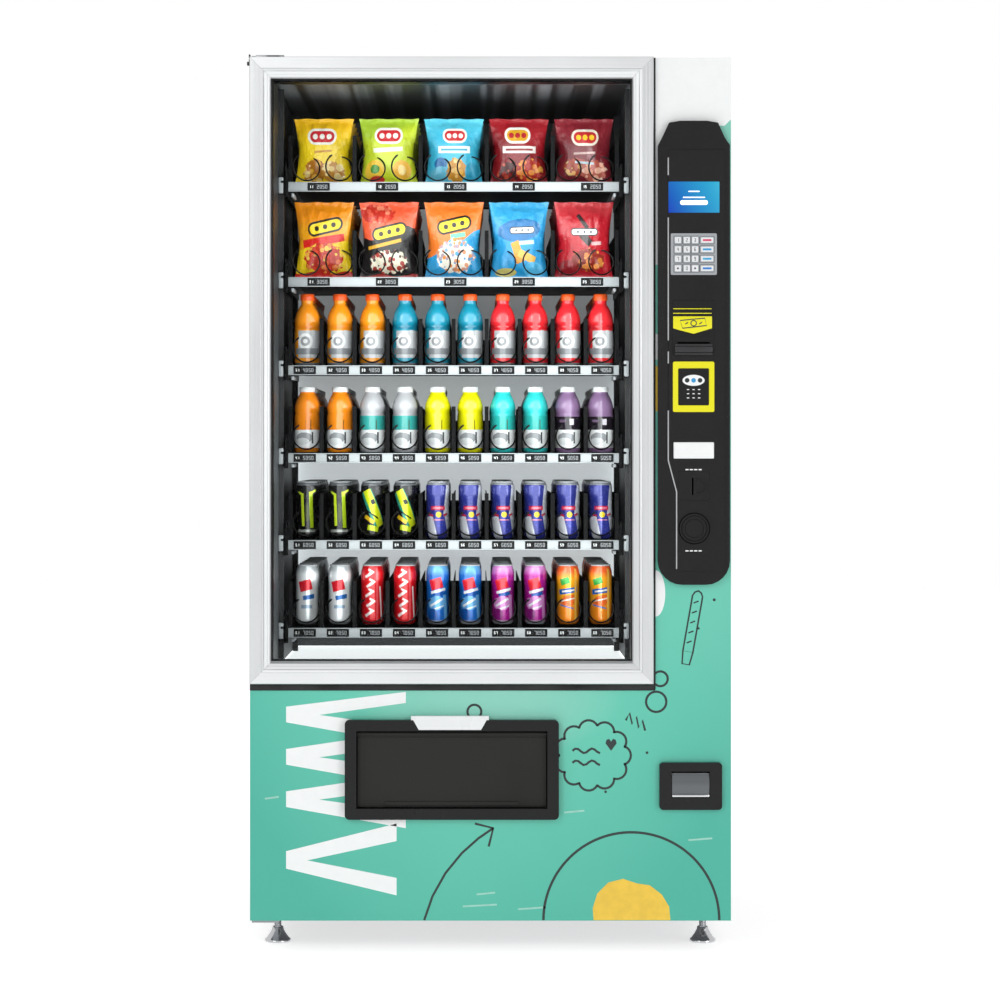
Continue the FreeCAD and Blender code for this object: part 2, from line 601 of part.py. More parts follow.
def spiral_wire():
    """Bent wire with its axis on Z, as straight lengths with mitred joints."""
    count = round(SPIRAL_LONG / SPIRAL_PITCH * WIRE_BENDS)
    points = []
    for k in range(count + 1):
        a = -2 * math.pi * k / WIRE_BENDS
        points.append(V(SPIRAL_R * math.cos(a), SPIRAL_R * math.sin(a),
                        SPIRAL_LONG * k / count))
    ways = [(there - here).normalize() for here, there in zip(points, points[1:])]
    across = ways[0].cross(V(1, 0, 0)).normalize()
    out = across.cross(ways[0])
    ring = []
    for side in range(WIRE_SIDES):
        a = 2 * math.pi * side / WIRE_SIDES
        ring.append(points[0] + out * (WIRE_R * math.cos(a)) + across * (WIRE_R * math.sin(a)))
    rings = [ring]
    for k in range(1, count + 1):
        way = ways[k - 1]
        joint = (way + ways[k]).normalize() if k < count else way
        ring = [p + way * ((points[k] - p).dot(joint) / way.dot(joint)) for p in ring]
        rings.append(ring)
    faces = [Part.Face(Part.makePolygon(r + [r[0]])) for r in (rings[0], rings[-1])]
    for here, there in zip(rings, rings[1:]):
        for side in range(WIRE_SIDES):
            n = (side + 1) % WIRE_SIDES
            corner = [here[side], here[n], there[n], there[side], here[side]]
            faces.append(Part.Face(Part.makePolygon(corner)))
    solid = Part.Solid(Part.makeShell(faces))
    if solid.Volume < 0:
        solid.reverse()
    return solid, points[-1], ways[-1]


def spiral_hub(end, way):
    """Motor coupling: hub, shaft and the arm that the wire's last bend butts against."""
    out = V(end.x, end.y, 0).normalize()
    third = out.cross(way)
    arm = Part.makeBox(SPIRAL_R - 1, ARM, 2 * ARM, V(4 - SPIRAL_R, 0, -ARM))
    arm.Placement = FreeCAD.Placement(FreeCAD.Matrix(out.x, way.x, third.x, end.x,
                                                     out.y, way.y, third.y, end.y,
                                                     out.z, way.z, third.z, end.z, 0, 0, 0, 1))
    hub = Part.makeCylinder(HUB_R, 12, V(0, 0, end.z - 4), V(0, 0, 1))
    shaft = Part.makeCylinder(SHAFT_R, 24, V(0, 0, end.z - 2), V(0, 0, 1))
    return fuse([hub, shaft, arm])


def spiral_master():
    """Spiral on the Y axis: front end at y = 0 and 11 o'clock, hub and shaft at the back."""
    wire, end, way = spiral_wire()
    body = Part.makeCompound([wire, spiral_hub(end, way)])
    body.rotate(V(0, 0, 0), V(1, 0, 0), -90)
    body.rotate(V(0, 0, 0), V(0, 1, 0), SPIRAL_START)
    return body


def place_spiral(master, number, n):
    rear = TRAY_FRONT + TRAY_DEPTH
    y = rear - THIN - GAP - SPIRAL_LONG - 8
    body = master.copy()
    body.translate(V(spiral_x(n), y, RAIL_TOPS[number] + SPIRAL_RISE))
    return body


def live_spirals(number):
    return LIVE_PAIR if number < WIDE_TRAYS else (LIVE_NARROW,)


# ---------------------------------------------------------------- write
def main():
    nodes = {}
    nodes["cabinet_shell"] = cabinet_shell()
    nodes["inner_liner"] = inner_liner()
    nodes["tray_uprights"] = tray_uprights()
    nodes["cooling_unit"] = cooling_unit()
    nodes["hinge_brackets"] = hinge_brackets()
    nodes["levelling_feet"] = levelling_feet()
    nodes["door_frame"] = door_frame()
    nodes["door_liner"] = door_liner()
    nodes["front_panel"] = front_panel()
    nodes["glass_frame"] = glass_frame()
    nodes["glass_panes"] = glass_panes()
    nodes["delivery_frame"] = delivery_frame()
    nodes["delivery_flap"] = delivery_flap()
    nodes["delivery_bin"] = delivery_bin()
    nodes["delivery_tab"] = delivery_tab()
    nodes["payment_panel"] = payment_panel()
    nodes["screen"] = screen()
    nodes["keypad_plate"] = keypad_plate()
    nodes["bill_acceptor"] = bill_acceptor()
    nodes["card_reader"] = card_reader()
    nodes["coin_entry"] = coin_entry()
    nodes["refund_button"] = refund_button()
    nodes["coin_cup"] = coin_cup()
    nodes["coin_flap"] = coin_flap()
    for n, spot in enumerate(keys_at()):
        nodes["key_%02d" % (n + 1)] = key(*spot)
    spiral = spiral_master()
    for number in range(len(RAIL_TOPS)):
        nodes["tray_%d" % (number + 1)] = tray(number)
        live = live_spirals(number)
        fixed = []
        for n in range(LANES_NARROW):
            if n not in live:
                fixed += place_spiral(spiral, number, n).Solids
        nodes["spirals_%d" % (number + 1)] = Part.makeCompound(fixed)
        for n in live:
            side = "" if len(live) == 1 else ("_left" if n == live[0] else "_right")
            nodes["live_spiral_%d%s" % (number + 1, side)] = place_spiral(spiral, number, n)
    os.makedirs("parts", exist_ok=True)
    for name, shape in nodes.items():
        shape.exportStep("parts/%s.step" % name)
        print(name, len(shape.Solids), "solids", round(shape.Volume / 1000.0, 1), "cm3",
              "valid" if shape.isValid() else "INVALID")
    print(len(nodes), "nodes")


main()
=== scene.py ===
# %% [markdown]
# # Snack vending machine
#
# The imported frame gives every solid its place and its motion. This lesson dresses that frame:
# first the camera and light, then the materials, then the door, the control column,
# the trays and at last the goods behind the glass. Everything is in metres, +Z up, and the
# front looks along -Y.

# %% Load the frame
import math
import random

import bmesh
import bpy
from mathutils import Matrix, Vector


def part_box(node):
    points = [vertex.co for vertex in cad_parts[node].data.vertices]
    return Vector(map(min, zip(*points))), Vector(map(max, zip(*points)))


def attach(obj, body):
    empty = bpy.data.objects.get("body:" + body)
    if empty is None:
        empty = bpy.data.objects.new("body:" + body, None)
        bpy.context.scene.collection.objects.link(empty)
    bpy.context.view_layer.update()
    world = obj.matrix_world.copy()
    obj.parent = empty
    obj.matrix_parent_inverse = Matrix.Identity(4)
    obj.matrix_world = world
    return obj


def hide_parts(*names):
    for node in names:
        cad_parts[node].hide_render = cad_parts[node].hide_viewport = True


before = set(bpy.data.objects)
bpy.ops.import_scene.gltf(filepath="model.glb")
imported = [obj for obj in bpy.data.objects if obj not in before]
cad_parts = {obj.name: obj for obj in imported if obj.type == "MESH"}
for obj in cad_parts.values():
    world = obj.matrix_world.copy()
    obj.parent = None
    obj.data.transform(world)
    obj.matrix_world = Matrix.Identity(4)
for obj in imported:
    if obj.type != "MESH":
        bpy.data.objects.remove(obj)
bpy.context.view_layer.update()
scene = bpy.context.scene
MM = 0.001

# %% [markdown]
# ## Places taken from the frame
#
# Later cells place their pieces from these boxes, so a change of the frame moves the
# looks with it.

# %% Named places
SKIN_LOW, SKIN_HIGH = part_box("front_panel")
GLASS_LOW, GLASS_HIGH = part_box("glass_frame")
PANEL_LOW, PANEL_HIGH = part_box("payment_panel")
HATCH_LOW, HATCH_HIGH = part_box("delivery_frame")
SKIN_Y = SKIN_LOW.y
SKIN_BOTTOM = SKIN_LOW.z
COLUMN_LEFT = GLASS_HIGH.x + 5.1 * MM
TRAYS = [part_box("tray_%d" % n) for n in range(1, 7)]
RAIL_HIGH = 21.5 * MM      # height of a price rail
DIVIDER_HIGH = 105 * MM    # a tray's dividers stand this far above its rail
WIDE_TRAYS = 2             # trays 1 and 2 have lanes of double width
LANES = 10
SIDE_CATCH = 6 * MM        # part of a tray's width at each end that is no lane


def rail_top(number):
    """Top of the price rail of tray 1 to 6."""
    return TRAYS[number - 1][1].z - DIVIDER_HIGH


def tray_body(number):
    return "tray_%d_slider" % number


TRAY_LEFT = TRAYS[0][0].x + SIDE_CATCH
TRAY_RIGHT = TRAYS[0][1].x - SIDE_CATCH
TRAY_FRONT = TRAYS[0][0].y
LANE = (TRAY_RIGHT - TRAY_LEFT) / LANES


def lane_x(n):
    """Middle of lane 0 to 9."""
    return TRAY_LEFT + LANE * (n + 0.5)


def middle_of(node):
    """The x and z in the middle of a node's box."""
    low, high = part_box(node)
    return (low.x + high.x) / 2, (low.z + high.z) / 2


print("lanes are %.1f mm wide" % (LANE / MM))


# %% [markdown]
# ## Camera and light
#
# The camera stands 5.5 m in front of the door, about 1.1 m above the floor, and looks
# straight along +Y. So the verticals stay parallel, and two small shifts put the machine in
# its place in the frame.
# Soft light comes from a bright world and two large lamps. The cell has its own light on
# the real machine, so two more lamps stand just inside the glass. The world is weaker for
# diffuse rays, or it would wash out the colours, and full strength where it is seen.

# %% Camera
EYE_DISTANCE = 5.5
EYE_HEIGHT = 1.081
camera_data = bpy.data.cameras.new("camera")
camera_data.sensor_width = 36
camera_data.lens = 91.14
camera_data.shift_x = 0.0247
camera_data.shift_y = -0.047
camera_data.clip_end = 60
camera = bpy.data.objects.new("camera", camera_data)
camera.location = (-0.033, SKIN_Y - EYE_DISTANCE, EYE_HEIGHT)
camera.rotation_euler = (math.radians(90), 0, 0)
scene.collection.objects.link(camera)
scene.camera = camera


# %% World and lamps
def lamp(name, place, aim, size, power):
    """A rectangular lamp at place that looks at aim."""
    data = bpy.data.lights.new(name, "AREA")
    data.shape = "RECTANGLE"
    data.size, data.size_y = size
    data.energy = power
    thing = bpy.data.objects.new(name, data)
    thing.visible_camera = False
    thing.location = place
    thing.rotation_euler = (Vector(aim) - Vector(place)).to_track_quat("-Z", "Y").to_euler()
    scene.collection.objects.link(thing)
    return thing


world = bpy.data.worlds.new("studio")
scene.world = world
world.use_nodes = True
backdrop = world.node_tree.nodes["Background"]
backdrop.inputs["Color"].default_value = (1, 1, 1, 1)
ray = world.node_tree.nodes.new("ShaderNodeLightPath")
matte = world.node_tree.nodes.new("ShaderNodeMapRange")
matte.inputs["To Min"].default_value = 0.78
matte.inputs["To Max"].default_value = 0.42
world.node_tree.links.new(ray.outputs["Is Diffuse Ray"], matte.inputs["Value"])
seen = world.node_tree.nodes.new("ShaderNodeMath")
seen.operation = "MAXIMUM"
world.node_tree.links.new(matte.outputs["Result"], seen.inputs[0])
world.node_tree.links.new(ray.outputs["Is Camera Ray"], seen.inputs[1])
world.node_tree.links.new(seen.outputs[0], backdrop.inputs["Strength"])
scene.view_settings.view_transform = "Standard"

lamp("key_lamp", (-2.6, -4.2, 3.0), (0, 0, 1.0), (1.6, 2.2), 54)
lamp("fill_lamp", (3.0, -3.6, 1.8), (0, 0, 1.0), (1.4, 2.4), 34)
lamp("cell_lamp_wide", (-0.08, -0.352, 1.27), (-0.08, 0.2, 1.25), (0.7, 1.2), 8.0)
lamp("cell_lamp_right", (0.27, -0.35, 1.24), (-0.08, -0.05, 1.24), (0.03, 1.2), 1.2)


# %% [markdown]
# ## Tools for colour, nodes and meshes
#
# A `Field` wraps one socket of a node tree, so that a pattern reads like a formula.

# %% Colour and node tools
def linear(code):
    """'#RRGGBB' as a linear colour."""
    out = []
    for at in (1, 3, 5):
        value = int(code[at:at + 2], 16) / 255
        out.append(value / 12.92 if value <= 0.04045 else ((value + 0.055) / 1.055) ** 2.4)
    return (*out, 1.0)


class Field:
    """A number that varies over a surface, as a socket of the node tree."""

    def __init__(self, tree, socket):
        self.tree = tree
        self.socket = socket

    def _math(self, kind, *others, clamp=False):
        node = self.tree.nodes.new("ShaderNodeMath")
        node.operation = kind
        node.use_clamp = clamp
        self.tree.links.new(self.socket, node.inputs[0])
        for n, other in enumerate(others):
            if isinstance(other, Field):
                self.tree.links.new(other.socket, node.inputs[n + 1])
            else:
                node.inputs[n + 1].default_value = other
        return Field(self.tree, node.outputs[0])

    def __add__(self, other):
        return self._math("ADD", other)

    def __sub__(self, other):
        return self._math("SUBTRACT", other)

    def __mul__(self, other):
        return self._math("MULTIPLY", other)

    def __gt__(self, other):
        return self._math("GREATER_THAN", other)

    def __lt__(self, other):
        return self._math("LESS_THAN", other)

    def both(self, other):
        return self._math("MINIMUM", other)

    def either(self, other):
        return self._math("MAXIMUM", other)

    def apply(self, kind, *others):
        return self._math(kind, *others)

    def ramp(self, start, end):
        """0 at start, 1 at end, straight between."""
        return (self - start)._math("MULTIPLY", 1 / (end - start), clamp=True)


class Paint:
    """A material with a principled shader, built step by step."""

    def __init__(self, name, color="#808080", rough=0.5, metal=0.0, coat=0.0, shine=0.5):
        self.material = bpy.data.materials.new(name)
        self.material.use_nodes = True
        self.tree = self.material.node_tree
        self.shader = self.tree.nodes["Principled BSDF"]
        self.color = color if isinstance(color, tuple) else linear(color)
        self.set("Base Color", self.color)
        self.set("Roughness", rough)
        self.set("Metallic", metal)
        self.set("Coat Weight", coat)
        self.set("Coat Roughness", 0.08)
        self.set("Specular IOR Level", shine)
        self.coordinates = self.node("ShaderNodeTexCoord").outputs["Object"]
        self.height = None

    def node(self, kind, **values):
        node = self.tree.nodes.new(kind)
        for key, value in values.items():
            setattr(node, key, value)
        return node

    def set(self, name, value):
        self.shader.inputs[name].default_value = value

    def link(self, source, name):
        source = source.socket if isinstance(source, Field) else source
        self.tree.links.new(source, self.shader.inputs[name])

    def axes(self, vector=None):
        split = self.node("ShaderNodeSeparateXYZ")
        self.tree.links.new(vector or self.coordinates, split.inputs[0])
        return [Field(self.tree, out) for out in split.outputs]

    def art(self):
        """The piece's own art coordinates: across, up and a random number for the piece."""
        node = self.node("ShaderNodeAttribute", attribute_name="art")
        return self.axes(node.outputs["Vector"])

    def noise(self, scale, detail=2.0, stretch=(1, 1, 1)):
        mapping = self.node("ShaderNodeMapping")
        mapping.inputs["Scale"].default_value = stretch
        node = self.node("ShaderNodeTexNoise")
        node.inputs["Scale"].default_value = scale
        node.inputs["Detail"].default_value = detail
        self.tree.links.new(self.coordinates, mapping.inputs["Vector"])
        self.tree.links.new(mapping.outputs["Vector"], node.inputs["Vector"])
        return Field(self.tree, node.outputs["Fac"])

    def mix(self, mask, first, second):
        """Colour: first where mask is 0, second where it is 1."""
        node = self.node("ShaderNodeMix", data_type="RGBA")
        self.tree.links.new(mask.socket, node.inputs["Factor"])
        for name, value in (("A", first), ("B", second)):
            place = [s for s in node.inputs if s.name == name and s.type == "RGBA"][0]
            if isinstance(value, str):
                place.default_value = linear(value)
            elif isinstance(value, tuple):
                place.default_value = value
            else:
                self.tree.links.new(value, place)
        return [s for s in node.outputs if s.type == "RGBA"][0]

    def vary(self, field, name, start, end):
        """Drives a shader input between two values with a field of 0 to 1."""
        self.link(field * (end - start) + start, name)

    def bump(self, field, depth):
        node = self.node("ShaderNodeBump")
        node.inputs["Distance"].default_value = depth
        node.inputs["Strength"].default_value = 1.0
        self.tree.links.new(field.socket, node.inputs["Height"])
        if self.height is not None:
            self.tree.links.new(self.height, node.inputs["Normal"])
        self.height = node.outputs["Normal"]
        self.tree.links.new(self.height, self.shader.inputs["Normal"])

    def soften(self, radius):
        """Rounds the look of sharp edges. It comes before any bump."""
        node = self.node("ShaderNodeBevel", samples=4)
        node.inputs["Radius"].default_value = radius
        self.height = node.outputs["Normal"]
        self.tree.links.new(self.height, self.shader.inputs["Normal"])


# %% Mesh tools
def finish_mesh(name, bm, materials, body, replaces=(), smooth=None):
    """Turns bm into a piece that rides on body. smooth is the sharpest smooth angle."""
    mesh = bpy.data.meshes.new(name)
    bmesh.ops.recalc_face_normals(bm, faces=bm.faces)
    bm.to_mesh(mesh)
    bm.free()
    for paint in materials if isinstance(materials, list) else [materials]:
        mesh.materials.append(paint)
    if smooth is not None:
        mesh.shade_smooth()
        mesh.set_sharp_from_angle(angle=math.radians(smooth))
    piece = bpy.data.objects.new(name, mesh)
    scene.collection.objects.link(piece)
    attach(piece, body)
    if replaces:
        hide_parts(*replaces)
    print("made", name, "with", len(mesh.polygons), "faces, on", body)
    return piece


def add_block(bm, x, y, z, edge=0.0, material=0):
    """Adds a block to bm. x, y and z are (low, high) pairs, edge the radius of its edges."""
    before = set(bm.faces)
    made = bmesh.ops.create_cube(bm, size=1.0)["verts"]
    size = (x[1] - x[0], y[1] - y[0], z[1] - z[0])
    middle = ((x[0] + x[1]) / 2, (y[0] + y[1]) / 2, (z[0] + z[1]) / 2)
    bmesh.ops.scale(bm, vec=size, verts=made)
    bmesh.ops.translate(bm, vec=middle, verts=made)
    if edge:
        edges = list({e for v in made for e in v.link_edges})
        bmesh.ops.bevel(bm, geom=edges, offset=edge, segments=2, profile=0.5,
                        affect="EDGES", material=-1)
    fresh = [f for f in bm.faces if f not in before]
    for face in fresh:
        face.material_index = material
    return fresh


def add_slab(bm, points, y_back, y_front, material=0, edge=0.0):
    """Adds a plate whose outline is (x, z) points, from y_back to y_front."""
    before = set(bm.faces)
    face = bm.faces.new([bm.verts.new((x, y_back, z)) for x, z in points])
    grown = bmesh.ops.extrude_face_region(bm, geom=[face])
    moved = [g for g in grown["geom"] if isinstance(g, bmesh.types.BMVert)]
    bmesh.ops.translate(bm, vec=(0, y_front - y_back, 0), verts=moved)
    if edge:
        rim = {e for v in moved for e in v.link_edges if all(w in moved for w in e.verts)}
        bmesh.ops.bevel(bm, geom=list(rim), offset=edge, segments=2, profile=0.5,
                        affect="EDGES", material=-1)
    fresh = [f for f in bm.faces if f not in before]
    for face in fresh:
        face.material_index = material
    return fresh


def circle(x, z, radius, start=0.0, end=360.0, count=48, squash=1.0):
    """Points of an arc in the XZ plane. Angles in degrees, counter-clockwise from +X."""
    whole = abs(end - start) >= 360
    steps = count if whole else count - 1
    return [(x + radius * math.cos(math.radians(start + (end - start) * n / steps)),
             z + radius * squash * math.sin(math.radians(start + (end - start) * n / steps)))
            for n in range(count)]


def add_stroke(bm, points, width, y_back, y_front, closed=False):
    """Adds a ribbon of even width that follows (x, z) points."""
    count = len(points)
    pairs = []
    for n, (x, z) in enumerate(points):
        before = points[n - 1] if n or closed else points[n]
        after = points[(n + 1) % count] if n < count - 1 or closed else points[n]
        along = Vector((after[0] - before[0], after[1] - before[1]))
        if along.length < 1e-9:
            along = Vector((1, 0))
        side = Vector((-along.y, along.x)).normalized() * width / 2
        pairs.append(((x + side.x, z + side.y), (x - side.x, z - side.y)))
    last = count if closed else count - 1
    for n in range(last):
        (a, b), (c, d) = pairs[n], pairs[(n + 1) % count]
        for y, flip in ((y_front, False), (y_back, True)):
            ring = [bm.verts.new((p[0], y, p[1])) for p in (a, b, d, c)]
            bm.faces.new(ring[::-1] if flip else ring)


def join_rings(bm, rings):
    """Joins each ring of vertices to the next one. A ring of one vertex is a tip."""
    bands = []
    for under, over in zip(rings, rings[1:]):
        count = max(len(under), len(over))
        band = []
        for n in range(count):
            m = (n + 1) % count
            if len(under) == 1:
                corners = [under[0], over[m], over[n]]
            elif len(over) == 1:
                corners = [under[n], under[m], over[0]]
            else:
                corners = [under[n], under[m], over[m], over[n]]
            band.append(bm.faces.new(corners))
        bands.append(band)
    return bands


def lathe(bm, profile, middle, segments):
    """Turns (radius, height) points about a vertical line through middle."""
    rings = []
    for radius, height in profile:
        if radius < 1e-6:
            rings.append([bm.verts.new((middle[0], middle[1], middle[2] + height))])
            continue
        rings.append([bm.verts.new((middle[0] + radius * math.cos(2 * math.pi * n / segments),
                                    middle[1] + radius * math.sin(2 * math.pi * n / segments),
                                    middle[2] + height)) for n in range(segments)])
    join_rings(bm, rings)


# %% [markdown]
# ## Materials
#
# Each kind of finish has its own function. Scales are real sizes: a noise scale of 1000
# has features of about a millimetre. Sheet steel is powder coated, which leaves a fine
# orange peel. Aluminium and stainless steel are brushed, so their shine is drawn out along
# the lines. Plastics are ABS mouldings with a faint grain. The peel and grain are coarser
# than real where they would be too fine to show.

# %% Metals and coats
def brushed(name, color, rough, along, lines=900):
    """Metal with drawn lines that run along the given axis, 0, 1 or 2."""
    paint = Paint(name, color, rough, 1.0)
    paint.soften(0.0006)
    stretch = [lines, lines, lines]
    stretch[along] = 6
    grain = paint.noise(1.0, 2.0, tuple(stretch))
    cloud = paint.noise(5.0, 3.0)
    paint.vary(grain * 0.6 + cloud * 0.4, "Roughness", rough - 0.1, rough + 0.14)
    shade = linear(color) if isinstance(color, str) else color
    dark = tuple(c * 0.8 for c in shade[:3]) + (1.0,)
    paint.link(paint.mix(grain * 0.5 + cloud * 0.5, dark, shade), "Base Color")
    paint.bump(grain, 0.00002)
    return paint.material


def powder_coat(name, color, rough=0.5, grain=700, depth=0.00006, shine=0.5):
    """Sprayed coat with a fine orange peel and slightly rubbed tone."""
    paint = Paint(name, color, rough, shine=shine)
    paint.soften(0.0006)
    peel = paint.noise(grain, 2.0)
    cloud = paint.noise(3.0, 4.0)
    shade = linear(color)
    dark = tuple(c * 0.86 for c in shade[:3]) + (1.0,)
    paint.link(paint.mix(cloud.ramp(0.3, 0.7), dark, shade), "Base Color")
    paint.vary(cloud, "Roughness", rough - 0.08, rough + 0.1)
    paint.bump(peel, depth)
    return paint.material


def moulding(name, color, rough=0.3, grain=1200, depth=0.00002, coat=0.0, sparkle=0.0,
             shine=0.5):
    """Injection moulded plastic with a faint grain, smears and, if asked, glitter."""
    paint = Paint(name, color, rough, coat=coat, shine=shine)
    paint.soften(0.0007)
    smear = paint.noise(9.0, 4.0, (1, 1, 0.35))
    paint.vary(smear.ramp(0.35, 0.7), "Roughness", rough * 0.75, rough * 1.35)
    paint.bump(paint.noise(grain, 2.0), depth)
    if sparkle:
        flakes = paint.node("ShaderNodeTexVoronoi")
        flakes.inputs["Scale"].default_value = 900
        paint.tree.links.new(paint.coordinates, flakes.inputs["Vector"])
        near = Field(paint.tree, flakes.outputs["Distance"]) < sparkle
        paint.link(paint.mix(near, color, "#8A8A90"), "Base Color")
    return paint.material


def chrome(name):
    """Plated steel, with faint cloudy marks from handling."""
    paint = Paint(name, "#D5D6D8", 0.14, 1.0)
    paint.vary(paint.noise(60.0, 3.0).ramp(0.4, 0.7), "Roughness", 0.1, 0.28)
    return paint.material


def window_glass():
    """Clear pane: straight-through light and a mirror sheen that grows at low angles."""
    material = bpy.data.materials.new("window_glass")
    material.use_nodes = True
    tree = material.node_tree
    tree.nodes.clear()
    out = tree.nodes.new("ShaderNodeOutputMaterial")
    clear = tree.nodes.new("ShaderNodeBsdfTransparent")
    clear.inputs["Color"].default_value = (0.965, 0.975, 0.975, 1)
    sheen = tree.nodes.new("ShaderNodeBsdfGlossy")
    sheen.inputs["Roughness"].default_value = 0.02
    edge = tree.nodes.new("ShaderNodeFresnel")
    edge.inputs["IOR"].default_value = 1.07
    blend = tree.nodes.new("ShaderNodeMixShader")
    tree.links.new(edge.outputs[0], blend.inputs[0])
    tree.links.new(clear.outputs[0], blend.inputs[1])
    tree.links.new(sheen.outputs[0], blend.inputs[2])
    tree.links.new(blend.outputs[0], out.inputs["Surface"])
    return material


def glow(name, color, strength):
    """A surface that gives light of its own."""
    paint = Paint(name, color, 0.4)
    paint.set("Emission Color", linear(color))
    paint.set("Emission Strength", strength)
    return paint.material


def cell_painted_light():
    """Cell walls with painted light: painted shade near the roof, streaked with painted
    reflections, and on the side walls and below the lowest tray; elsewhere the back wall is a
    lit light grey and the deck white, and both glow as painted light.
    """
    paint = Paint("cell_painted_light", "#C9CCCE", 0.45)
    paint.soften(0.0006)
    x, y, z = paint.axes()
    roof_z, wall_foot, deck_z = 1.78, 0.668, (0.597, 0.6025)
    back_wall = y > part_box("tray_1")[1].y + 5 * MM
    deck = (z > deck_z[0]) * (z < deck_z[1])
    # Painted light: the back wall is a lit light grey from just under the roof down to
    # wall_foot, below the lowest tray. Under wall_foot it stays in painted shade.
    lit = z.ramp(1.79, 1.70) * back_wall * (z > wall_foot)
    # Painted reflections: soft vertical streaks on the roof, which is dark with painted shade.
    painted_reflection_streaks = paint.noise(1.0, 2.0, (26, 0.4, 0.4)).ramp(0.46, 0.62)
    roof = paint.mix(painted_reflection_streaks * (z > roof_z), "#222324", "#6A6D70")
    # Painted shade: the side walls, and the back wall under wall_foot, are dark grey, darkest
    # up high.
    side = paint.mix(z.ramp(1.5, 1.2), "#26282A", "#46494B")
    walls = paint.mix(z > roof_z, side, roof)
    walls = paint.mix(lit, walls, "#D5D8DA")
    color = paint.mix(deck, walls, "#F4F6F6")
    paint.link(color, "Base Color")
    # Painted light: the lit back wall glows, more strongly lower down, and the deck glows in
    # full.
    paint.link(color, "Emission Color")
    paint.link(lit * (z.ramp(1.36, 1.12) * 0.52 + 0.22) + deck * 1.0, "Emission Strength")
    paint.vary(paint.noise(3.0, 4.0), "Roughness", 0.4, 0.55)
    paint.bump(paint.noise(300.0, 2.0), 0.00005)
    return paint.material


# %% Printed sheet
def printed_wrap():
    """Teal film: deeper at the foot and the sides, paler up the column and in one patch."""
    paint = Paint("printed_wrap", "#5FC3AE", 0.32, coat=0.25)
    paint.soften(0.0008)
    x, y, z = paint.axes()
    cloud = paint.noise(1.7, 3.0)
    deep = (x * x * 1.6 + z * -0.9 + cloud * 0.3).ramp(-0.25, 0.3)
    patch = (x * x + (z - 0.56) * (z - 0.56) * 4 + cloud * 0.03).ramp(0.1, 0.01)
    pale = (x * 0.8 + z * 0.5 + cloud * 0.35).ramp(0.75, 1.5)
    base = paint.mix(deep, "#5FC6AE", "#3FB09B")
    base = paint.mix(patch * 0.5, base, "#A6D6C8")
    paint.link(paint.mix(pale * 0.55, base, "#93CFBE"), "Base Color")
    paint.vary(paint.noise(14.0, 4.0), "Roughness", 0.26, 0.42)
    paint.bump(paint.noise(500.0, 2.0), 0.00002)
    return paint.material


def film_ink(name, color, rough=0.34, mottle=0.1):
    """Ink on the film: almost flat colour with slight print mottle."""
    paint = Paint(name, color, rough, coat=0.2)
    shade = linear(color)
    dark = tuple(c * (1 - mottle) for c in shade[:3]) + (1.0,)
    paint.link(paint.mix(paint.noise(60.0, 4.0).ramp(0.35, 0.65), dark, shade), "Base Color")
    paint.vary(paint.noise(20.0, 3.0), "Roughness", rough - 0.06, rough + 0.08)
    return paint.material


# %% Make the shared materials
COAT_BLACK = powder_coat("coat_black", "#1B1B1D", 0.42)
COAT_CABINET = powder_coat("coat_cabinet", "#55585B", 0.5)
LINER_PAINTED_LIGHT = cell_painted_light()
COAT_DOOR_LINER = powder_coat("coat_door_liner", "#B9BCBE", 0.45, grain=300)
COAT_TRAY = powder_coat("coat_tray", "#040405", 0.55, shine=0.1)
WIRE_BLACK = powder_coat("wire_black", "#09090A", 0.35, grain=1500, depth=0.00001, shine=0.3)
ZINC = brushed("zinc_steel", "#9EA2A5", 0.38, 2, lines=300)
COAT_UPRIGHT = powder_coat("coat_upright", "#1B1C1D", 0.45)
PLATE_STEEL = brushed("plate_steel", "#B6BABE", 0.32, 0)
KEY_STEEL = brushed("key_steel", "#EDEFF1", 0.42, 2)
CHROME = chrome("foot_chrome")
GLASS = window_glass()
PANEL_BLACK = moulding("panel_black", "#1F1E1F", 0.42, grain=900, depth=0.00003,
                       sparkle=0.09, shine=0.16)
GLOSS_BLACK = moulding("gloss_black", "#1E1E1F", 0.3, coat=0.06, shine=0.16)
FLAP_BLACK = moulding("flap_black", "#262624", 0.5, grain=700, depth=0.00006, shine=0.2)
WHITE_PLASTIC = moulding("white_plastic", "#E7E9EA", 0.3)
RAIL_WHITE = moulding("rail_white", "#969A9C", 0.42, grain=600, shine=0.3)
YELLOW_PLASTIC = moulding("yellow_plastic", "#E9E20A", 0.36)
RUBBER = moulding("rubber_black", "#101010", 0.7, grain=500, depth=0.00005)
WRAP = printed_wrap()
INK_WHITE = film_ink("ink_white", "#F1F3F3", mottle=0.02)
INK_DARK = film_ink("ink_dark", "#152826")
INK_YELLOW = film_ink("ink_yellow", "#F0C63C")
INK_PALE = film_ink("ink_pale", "#9AD3C4")

